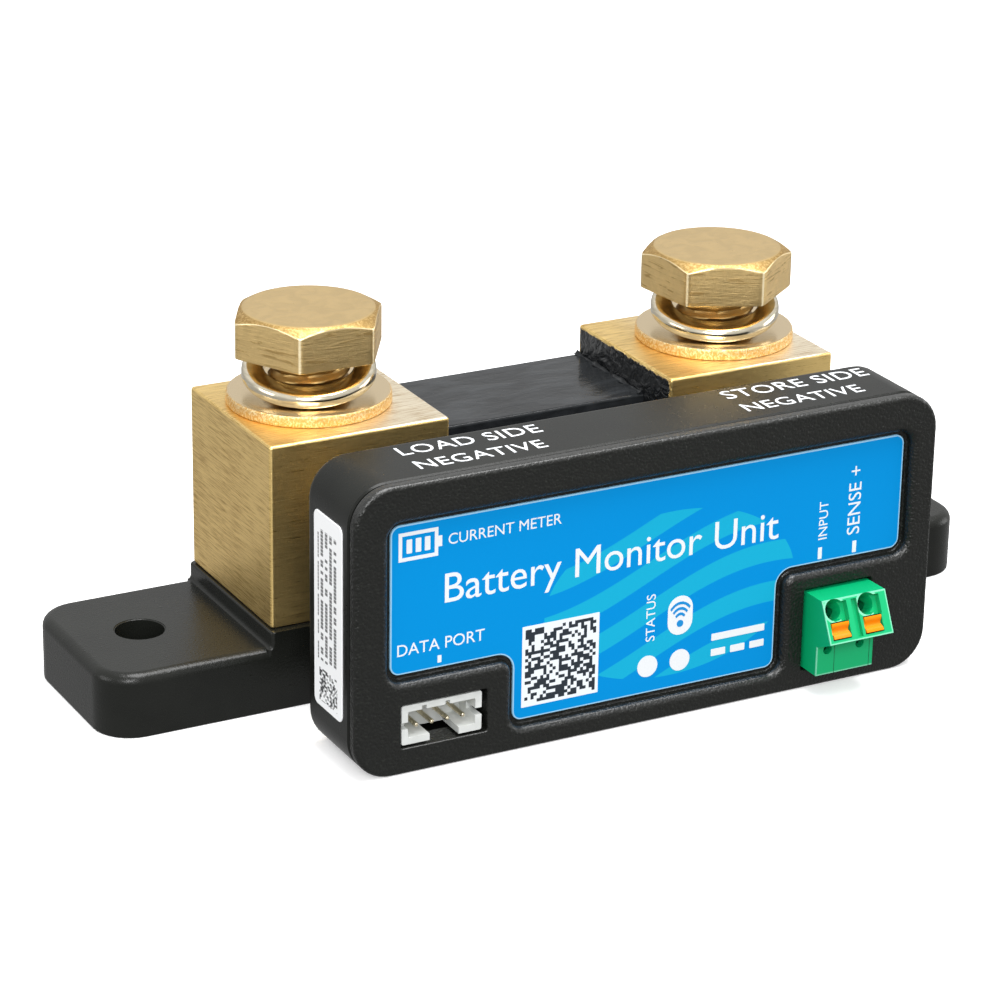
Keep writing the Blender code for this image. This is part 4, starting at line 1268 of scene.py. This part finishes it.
class SHUNT_OT_case(ShuntOperator):
    """Mould the rear half of the case"""

    bl_idname = "shunt.case"
    bl_label = "Rear case"

    def execute(self, context):
        size = sizes()
        low, high = span("rear_case")
        seam = low[1]
        edge = size["case_edge"]
        wall = 1.8
        profile = path(
            fillet((-edge, high[1]), (0.0, high[1] - edge), 0),
            (0.0, seam + 0.25),
            (-0.18, seam),
            (-wall, seam),
            (-wall, high[1] - wall),
        )
        case = prism("case_rear", case_shape, profile, "Y")
        holes = []
        for number in (1, 2):
            spacer_low, spacer_high = span(f"sense_spacer_{number}")
            middle = (spacer_low + spacer_high) / 2
            radius = (spacer_high - spacer_low)[0] / 2 + 0.12
            profile = [(radius, high[1] - 5), (radius, high[1] + 2)]
            holes.append(lathe(f"hole_{number}", profile, middle, 48, "Y"))
        combine(case, holes)
        soften(case, angle=30)
        material = moulded_plastic("case_plastic", tint("plastic"), 4.0, 0.012, (0.24, 0.34), 0.22)
        settle(case, material, "shunt", "black_plastic", "rear_case")
        return {"FINISHED"}


class SHUNT_OT_cover(ShuntOperator):
    """Mould the front cover with its sunk label field and its windows"""

    bl_idname = "shunt.cover"
    bl_label = "Front cover"

    def execute(self, context):
        size = sizes()
        low, high = span("front_cover")
        front = low[1]
        seam = span("rear_case")[0][1] - size["seam"]
        edge = size["cover_edge"]
        profile = path(
            (-2.1, high[1]),
            (-2.1, seam),
            (-0.18, seam),
            (0.0, seam - 0.2),
            fillet((0.0, front + edge), (-edge, front), 1),
        )
        cover = prism("cover_front", case_shape, profile, "Y")
        floor = span("front_label")[1][1] + 0.1
        lip = size["lip"]
        gap = 0.65
        recess = prism(
            "recess",
            label_shape,
            path(
                fillet((gap - 0.25, floor), (gap, floor - 0.25), 0, 3),
                fillet((gap, front + lip), (gap + lip, front), 1, 7),
                (gap + lip + 0.4, front - 0.4),
                (gap + lip + 0.4, front - 3),
            ),
            "Y",
        )
        cutters = [recess]
        for name, node, margins in (
            ("data_window", "data_socket_shell", (0.15, 0.65, 0.3, 0.2)),
            ("plug_window", "plug_housing", (0.35, 0.25, 0.3, 0.3)),
        ):
            box_low, box_high = span(node)
            left, right, below, above = margins
            corners = rectangle(
                (box_low[0] - left, box_low[2] - below),
                (box_high[0] + right, box_high[2] + above),
            )
            mouth = fillet((0.0, front + 0.22), (0.22, front), 1, 3)
            levels = path((0.0, high[1] + 3), mouth, (0.6, front - 3))
            shape = lambda margin: outline(corners, 0.25, margin, 3)
            cutters.append(prism(name, shape, levels, "Y"))
        for number in (1, 2):
            guide_low, guide_high = span(f"light_guide_{number}")
            middle = (guide_low + guide_high) / 2
            levels = [(1.4, high[1] + 2), (1.4, front - 2)]
            cutters.append(lathe(f"light_{number}", levels, middle, 32, "Y"))
        combine(cover, cutters)
        soften(cover, angle=30)
        material = textured_plastic("cover_plastic", tint("plastic"))
        settle(cover, material, "shunt", "cover_plastic", "front_cover")
        return {"FINISHED"}


class SHUNT_OT_labels(ShuntOperator):
    """Cut the front label, its dot code and the narrow label on the case's end"""

    bl_idname = "shunt.labels"
    bl_label = "Labels"

    def execute(self, context):
        low, high = span("front_label")
        front = low[1]
        profile = path(
            (0.0, high[1] + 0.08),
            (0.0, front + 0.04),
            [(-inset, front) for inset in (0.04, 0.16, 0.2)],
        )
        film = prism("label_front", label_shape, profile, "Y")
        # The rings round the edge carry the painted highlight of the cut edge; the front face gets
        # none.
        mark_rings(film, np.array((1.0, 1.0, 1.0, 1.0, 0.0)))
        soften(film, angle=30)
        material = label_film("label_film", tint("label_blue"), tint("label_cyan"))
        settle(film, material, "shunt", "label_blue", "front_label")
        levels = [(0.0, front + INK), (0.0, front - INK)]
        square = rectangle(CODE_LOW, CODE_HIGH)
        code = prism("label_code", lambda margin: outline(square, 0.05, margin, 1), levels, "Y")
        settle(soften(code), dot_code("label_code_print"), "shunt", "label_white")
        low, high = span("side_label")
        face = span("rear_case")[0][0]
        corners = rectangle((low[1], low[2]), (high[1], high[2]))
        levels = path((0.0, face + 0.02), (0.0, face - 0.10), (-0.05, face - 0.14))
        side = prism("label_side", lambda margin: outline(corners, 0.9, margin, 6), levels, "X")
        material = data_sticker("label_side_print", low, high)
        settle(soften(side), material, "shunt", "label_white", "side_label")
        return {"FINISHED"}


# Lettering ---------------------------------------------------------------------------------------


def letters(text, width, start, face, spacing=1.0, upright=False):
    """Points and faces of a line of flat letters, scaled to a width.

    Each glyph's (u, v) goes to (X, Z) on the front face and to (X, Y) on the top face. Upright
    lines run up the face, as (-v, u).
    """
    curve = bpy.data.curves.new("line", "FONT")
    curve.body = text
    curve.extrude = 0.004
    curve.space_character = spacing
    curve.resolution_u = 4
    drawn = bpy.data.objects.new("line", curve)
    bpy.context.scene.collection.objects.link(drawn)
    graph = bpy.context.evaluated_depsgraph_get()
    mesh = bpy.data.meshes.new_from_object(drawn.evaluated_get(graph))
    bpy.data.objects.remove(drawn, do_unlink=True)
    points = np.empty(len(mesh.vertices) * 3, np.float32)
    mesh.vertices.foreach_get("co", points)
    points = points.reshape(-1, 3).astype(float)
    faces = [list(polygon.vertices) for polygon in mesh.polygons]
    bpy.data.meshes.remove(mesh)
    points[:, 0] -= points[:, 0].min()
    points *= width / points[:, 0].max()
    u, v, w = points.T
    if upright:
        u, v = -v, u
    level = start[2] if face == "top" else start[1]
    w = np.sign(w) * INK
    if face == "top":
        placed = np.stack([start[0] + u, start[1] + v, level + w], axis=1)
    else:
        placed = np.stack([start[0] + u, level - w, start[2] + v], axis=1)
    return placed, faces


def printed(ring, level):
    """Points and faces of a flat printed shape on the front face: two rings, a rim and two ends."""
    count = len(ring)
    index = np.arange(count)
    ahead = np.roll(index, -1)
    faces = np.stack([index, ahead, ahead + count, index + count], axis=1).tolist()
    faces += [index[::-1].tolist(), (index + count).tolist()]
    return np.vstack([along("Y", ring, level + INK), along("Y", ring, level - INK)]), faces


def bars(shapes, level):
    """Printed rectangles with round corners, each from (low, high, radius)."""
    rings = [outline(rectangle(low, high), radius, 0.0, 6) for low, high, radius in shapes]
    return [printed(ring, level) for ring in rings]


def joined(name, parts):
    """One mesh object from several sets of points and faces."""
    points, faces, total = [], [], 0
    for part_points, part_faces in parts:
        faces += [[corner + total for corner in face] for face in part_faces]
        points.append(part_points)
        total += len(part_points)
    return mesh_object(name, np.vstack(points), faces)


class SHUNT_OT_lettering(ShuntOperator):
    """Print the plain wording and signs on the label and on the case's top"""

    bl_idname = "shunt.lettering"
    bl_label = "Lettering"

    def execute(self, context):
        level = span("front_label")[0][1]
        lines = [
            letters("CURRENT METER", 14.6, (-26.6, level, 27.1), "front"),
            letters("Battery Monitor Unit", 44.6, (-27.0, level, 20.0), "front"),
            letters("DATA PORT", 11.2, (-33.0, level, 14.4), "front"),
            letters("STATUS", 6.0, (0.9, level, 9.9), "front", 1.0, True),
            letters("INPUT", 4.9, (24.5, level, 18.7), "front", 1.0, True),
            letters("SENSE +", 8.8, (29.1, level, 18.6), "front", 1.0, True),
        ]
        marks = [
            ((-27.85, 12.7), (-27.35, 13.6), 0.05),
            ((23.35, 16.2), (23.9, 17.7), 0.05),
            ((28.25, 16.2), (28.8, 17.7), 0.05),
            ((-1.32, 5.35), (1.43, 8.1), 1.37),
            ((3.10, 5.32), (5.85, 8.07), 1.37),
            ((2.65, 10.0), (6.05, 15.0), 1.69),
            ((8.8, 8.3), (16.2, 9.2), 0.1),
            ((8.8, 6.3), (10.8, 7.2), 0.1),
            ((11.5, 6.3), (13.5, 7.2), 0.1),
            ((14.2, 6.3), (16.2, 7.2), 0.1),
            ((-32.9, 26.0), (-27.9, 26.45), 0.02),
            ((-32.9, 29.05), (-27.9, 29.5), 0.02),
            ((-32.9, 26.45), (-32.45, 29.05), 0.02),
            ((-28.35, 26.45), (-27.9, 29.05), 0.02),
            ((-27.9, 27.1), (-27.4, 28.4), 0.02),
            ((-31.9, 26.9), (-31.2, 28.6), 0.1),
            ((-30.75, 26.9), (-30.05, 28.6), 0.1),
            ((-29.6, 26.9), (-28.9, 28.6), 0.1),
        ]
        white = joined("label_print", lines + bars(marks, level))
        settle(white, printed_white("label_ink", tint("print_white")), "shunt", "label_white")
        signal = [((3.9, 11.0), (4.8, 11.9), 0.44)]
        blue = joined("label_sign", bars(signal, level - INK) + self.waves(level - INK))
        settle(blue, printed_white("sign_ink", tint("label_blue")), "shunt", "label_blue")
        top = span("rear_case")[1][2]
        lines = [
            letters("LOAD SIDE", 18.2, (-28.8, -26.0, top), "top", 1.04),
            letters("NEGATIVE", 16.4, (-28.8, -30.6, top), "top", 1.04),
            letters("STORE SIDE", 20.0, (14.4, -26.0, top), "top", 1.04),
            letters("NEGATIVE", 16.4, (14.4, -30.6, top), "top", 1.04),
        ]
        case_print = joined("case_print", lines)
        settle(case_print, printed_white("case_ink", tint("print_white")), "shunt", "label_white")
        return {"FINISHED"}

    def waves(self, level):
        """Three arcs over a dot, the usual sign for a radio signal.

        Each arc is the band between two circles about the dot, from 45 to 135 degrees.
        """
        parts = []
        turn = np.linspace(math.radians(45), math.radians(135), 13)
        circle = np.stack([np.cos(turn), np.sin(turn)], axis=1)
        for radius in (1.0, 1.7, 2.4):
            band = np.vstack([circle * radius, circle[::-1] * (radius + 0.36)])
            parts.append(printed(band * (0.72, 1.0) + (4.35, 11.5), level))
        return parts


# Data socket and plug ----------------------------------------------------------------------------


class SHUNT_OT_data_socket(ShuntOperator):
    """Mould the data socket's shell and finish its pins"""

    bl_idname = "shunt.data_socket"
    bl_label = "Data socket"

    def execute(self, context):
        low, high = span("data_socket_shell")
        wall = 0.82
        front = low[1]
        seat = high[1]
        floor = front + 4.2

        def block(name, box_low, box_high, levels, radius=0.1):
            corners = rectangle(box_low, box_high)
            profile = [(0.0, level) for level in levels]
            return prism(name, lambda margin: outline(corners, radius, margin, 3), profile, "Y")

        shell = block("socket_shell", (low[0], low[2]), (high[0], high[2]), (front, seat), 0.25)
        middle = (low[2] + high[2]) / 2
        left, right, foot, top = low[0], high[0], low[2], high[2]
        inside = foot + wall + 0.1
        over = top - wall - 0.1
        notch = (middle - 0.55, middle + 0.35)
        ahead = front - 2
        deep = (ahead, floor)
        cutters = [
            block("inside", (left + wall, foot + wall), (right - wall, top - wall), deep, 0.15),
            block("foot_gap", (left + 3.6, foot - 2), (right - 2.95, inside), deep),
            block("right_notch", (right - 1.5, notch[0]), (right + 2, notch[1]), (ahead, -31.8)),
            block("left_notch", (left - 2, notch[0]), (left + 1.2, notch[1]), (ahead, -33.0)),
            block("key_slot", (left + 2.6, over), (left + 3.2, top - 0.35), deep),
            block("key_slot_2", (left + 5.6, over), (left + 6.2, top - 0.35), deep),
        ]
        combine(shell, cutters)
        soften(shell, 0.07, 2)
        material = bright_plastic("socket_nylon", tint("socket_white"), 0.42, 0.004, 0.3)
        settle(shell, material, "shunt", "socket_plastic", "data_socket_shell")
        gold = gold_plate("pin_gold", tint("gold"))
        for number in range(1, 5):
            node = f"data_socket_pin_{number}"
            pin_low, pin_high = span(node)
            centre = (pin_low + pin_high)[::2] / 2 - (0, 0.45)
            half = 0.27
            corners = rectangle(centre - half, centre + half)
            tip = fillet((0.0, front + 0.75), (-0.2, front + 0.4), 1, 4)
            profile = path((0.0, pin_high[1]), tip)
            name = f"socket_pin_{number}"
            pin = prism(name, lambda margin: outline(corners, 0.21, margin, 3), profile, "Y")
            settle(soften(pin), gold, "shunt", "pin_gold", node)
        return {"FINISHED"}


class SHUNT_OT_plug(ShuntOperator):
    """Mould the green terminal plug with its wire funnels"""

    bl_idname = "shunt.plug"
    bl_label = "Terminal plug"

    def execute(self, context):
        low, high = span("plug_housing")
        head = [
            (PLUG_BACK, high[2] - 0.12),
            (ENTRY_TOP[0] + 0.1, high[2]),
            ENTRY_TOP,
            ENTRY_FOOT,
            (ENTRY_FOOT[0] + 0.15, ENTRY_FOOT[1] - 0.12),
            (FOOT_FRONT, FOOT_TOP),
            (PLUG_BACK, FOOT_TOP),
        ]
        foot = rectangle((FOOT_FRONT, low[2]), (PLUG_BACK, FOOT_TOP + 1))
        nose = rectangle((PLUG_BACK - 1, 4.3), (high[1], 11.3))
        plug = self.bar("plug_body", head, (low[0], high[0]))
        foot = self.bar("plug_foot", foot, (low[0], high[0] - 0.9))
        nose = self.bar("plug_nose", nose, (low[0], high[0] - 0.65))
        combine(plug, [foot, nose], "UNION")
        cutters = []
        poles = []
        for number in (1, 2):
            lever_low, lever_high = span(f"release_lever_{number}")
            poles.append((lever_low[0] + lever_high[0]) / 2 - 0.3)
            cutters += self.pole(number, poles[-1], lever_low, lever_high)
        cutters.append(self.slot("pole_groove", (0.35, 5.0), (-0.6, 1.0), (25.3, 26.1)))
        combine(plug, cutters, weld=0.13)
        soften(plug, 0.11, 2, 30)
        material = plug_plastic("plug_plastic", tint("plug_green"), low, high, poles)
        settle(plug, material, "terminal_plug", "plug_green", "plug_housing")
        return {"FINISHED"}

    def point(self, down, out):
        """A (Y, Z) point at a distance down the entry face and out of it."""
        return ENTRY_TOP + ENTRY_DOWN * down + ENTRY_OUT * out

    def bar(self, name, shape, across):
        """A (Y, Z) outline carried along X."""
        return loft(name, np.stack([along("X", np.array(shape), level) for level in across]))

    def slot(self, name, down, out, across):
        """A bar square to the entry face."""
        corners = rectangle((down[0], out[0]), (down[1], out[1]))
        return self.bar(name, [self.point(*corner) for corner in corners], across)

    def pole(self, number, x, lever_low, lever_high):
        """Cutters of one pole: contact space, funnel, its side pocket, lever slot and test hole."""
        across = (lever_low[0] - 0.12, lever_high[0] + 0.12)
        mouth = self.point(MOUTH_DEPTH, 1.5)
        space = rectangle((-36.0, 5.0), (-28.2, 10.6))
        return [
            self.tube(f"funnel_{number}", x - 0.02, mouth, (2.9, 6.0), (1.12, 1.12)),
            self.tube(f"funnel_mouth_{number}", x - 0.02, mouth, (0.0, 3.0), (MOUTH_RADIUS, 1.22)),
            self.bar(f"space_{number}", space, (x - 1.15, x + 1.75)),
            self.slot(f"pocket_{number}", (0.35, 2.7), (-0.9, 1.0), (x + 0.6, x + 1.75)),
            self.slot(f"lever_slot_{number}", (2.72, 4.90), (-5.4, 1.0), across),
            lathe(f"test_{number}", [(0.6, -38.5), (0.6, -35.5)], (x, 0.0, 5.95), 24, "Y"),
        ]

    def tube(self, name, x, mouth, depths, radii):
        """A round cutter along the wire's way in, from one depth under the mouth to another."""
        turn = np.linspace(0.0, 2 * math.pi, 40, endpoint=False)
        rings = []
        for depth, radius in zip(depths, radii):
            flat = mouth - ENTRY_OUT * depth + np.outer(np.sin(turn) * radius, ENTRY_DOWN)
            rings.append(np.column_stack([x + np.cos(turn) * radius, flat]))
        return loft(name, np.stack(rings))


class SHUNT_OT_levers(ShuntOperator):
    """Mould the orange release levers"""

    bl_idname = "shunt.levers"
    bl_label = "Release levers"

    def execute(self, context):
        for number in (1, 2):
            node = f"release_lever_{number}"
            low, high = span(node)
            lever = self.lever(f"lever_{number}", low, high)
            soften(lever, 0.06, 2, 50)
            orange = tint("lever_orange")
            material = bright_plastic(f"lever_{number}_plastic", orange, 0.3, 0.006, 0.02, 0.18)
            settle(lever, material, node, "lever_orange", node)
        return {"FINISHED"}

    def lever(self, name, low, high):
        """A bar whose face has two rounded ridges and a hollow between them.

        The face's height across its width t, from 0 to 1, is 0.14 - 0.5 sin(pi t) ** 4.
        """
        start, width, depth = 2.85, 1.92, 3.9
        share = np.linspace(0.0, 1.0, 15)
        height = 0.14 - 0.5 * np.sin(math.pi * share) ** 4
        down = np.append(start + width * share, (start + width, start))
        out = np.append(height, (-depth, -depth))
        section = ENTRY_TOP + np.outer(down, ENTRY_DOWN) + np.outer(out, ENTRY_OUT)
        across = np.linspace(low[0], high[0], 7)
        return loft(name, np.stack([along("X", section, x) for x in across]))


# Hidden and carried-over pieces ------------------------------------------------------------------


class SHUNT_OT_inside(ShuntOperator):
    """Give the screws, spacers, board and its components their finishes"""

    bl_idname = "shunt.inside"
    bl_label = "Inner pieces"

    def execute(self, context):
        gold = gold_plate("contact_gold", tint("gold"))
        steel = plated_steel("screw_steel", (0.55, 0.55, 0.54, 1.0), 0.24)
        chip = moulded_plastic("chip_black", (0.02, 0.02, 0.021, 1.0), 8.0, 0.006, (0.45, 0.6), 0.5)
        tinned = plated_steel("tinned_can", (0.62, 0.62, 0.60, 1.0), 0.28)
        brass = gold_plate("spacer_brass", tint("bolt_brass"))
        light = bright_plastic("light_guide_plastic", (0.80, 0.82, 0.82, 1.0), 0.2, 0.003, 0.2)
        finishes = {
            "circuit_board": circuit_board("board_mask", tint("board_green")),
            "plug_header": bright_plastic("header_plastic", tint("plug_green"), 0.36, 0.006, 0.05),
            "block_screw": steel,
            "sense_screw": steel,
            "sense_spacer": brass,
            "clamp_spring": steel,
            "plug_contact": gold,
            "header_pin": gold,
            "radio_module": tinned,
            "supply_capacitor": tinned,
            "processor_chip": chip,
            "amplifier_chip": chip,
            "power_inductor": chip,
            "status_led": light,
            "light_guide": light,
        }
        for name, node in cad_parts.items():
            if node.hide_render:
                continue
            found = [material for start, material in finishes.items() if name.startswith(start)]
            if len(found) != 1:
                raise RuntimeError(f"no single finish for {name}")
            node.data.materials.clear()
            node.data.materials.append(found[0])
        return {"FINISHED"}


# Panel -------------------------------------------------------------------------------------------

BUILD_ORDER = (
    "stage",
    "base",
    "blocks",
    "plates",
    "bolts",
    "washers",
    "case",
    "cover",
    "labels",
    "lettering",
    "data_socket",
    "plug",
    "levers",
    "inside",
)


class SHUNT_PT_panel(bpy.types.Panel):
    """Sizes, colours and building steps of the shunt"""

    bl_idname = "SHUNT_PT_panel"
    bl_label = "Battery Monitor Shunt"
    bl_space_type = "VIEW_3D"
    bl_region_type = "UI"
    bl_category = "Shunt"

    def draw(self, context):
        for group in (context.scene.shunt_sizes, context.scene.shunt_colours):
            box = self.layout.box()
            for name in type(group).__annotations__:
                box.prop(group, name)
        for step in BUILD_ORDER:
            self.layout.operator(f"shunt.{step}")


CLASSES = (
    ShuntSizes,
    ShuntColours,
    SHUNT_OT_stage,
    SHUNT_OT_base,
    SHUNT_OT_blocks,
    SHUNT_OT_plates,
    SHUNT_OT_bolts,
    SHUNT_OT_washers,
    SHUNT_OT_case,
    SHUNT_OT_cover,
    SHUNT_OT_labels,
    SHUNT_OT_lettering,
    SHUNT_OT_data_socket,
    SHUNT_OT_plug,
    SHUNT_OT_levers,
    SHUNT_OT_inside,
    SHUNT_PT_panel,
)


def register():
    """Register the classes and hang the two property groups on the scene."""
    for cls in CLASSES:
        bpy.utils.register_class(cls)
    bpy.types.Scene.shunt_sizes = PointerProperty(type=ShuntSizes)
    bpy.types.Scene.shunt_colours = PointerProperty(type=ShuntColours)


def unregister():
    """Undo register."""
    del bpy.types.Scene.shunt_colours
    del bpy.types.Scene.shunt_sizes
    for cls in reversed(CLASSES):
        bpy.utils.unregister_class(cls)


def corners():
    """The shown object's lowest and highest corner, as plain lists."""
    return [[round(value, 6) for value in corner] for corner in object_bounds()]


def main():
    """Build every piece in order."""
    register()
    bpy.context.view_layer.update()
    for step in BUILD_ORDER:
        getattr(bpy.ops.shunt, step)()


if __name__ == "__main__":
    main()
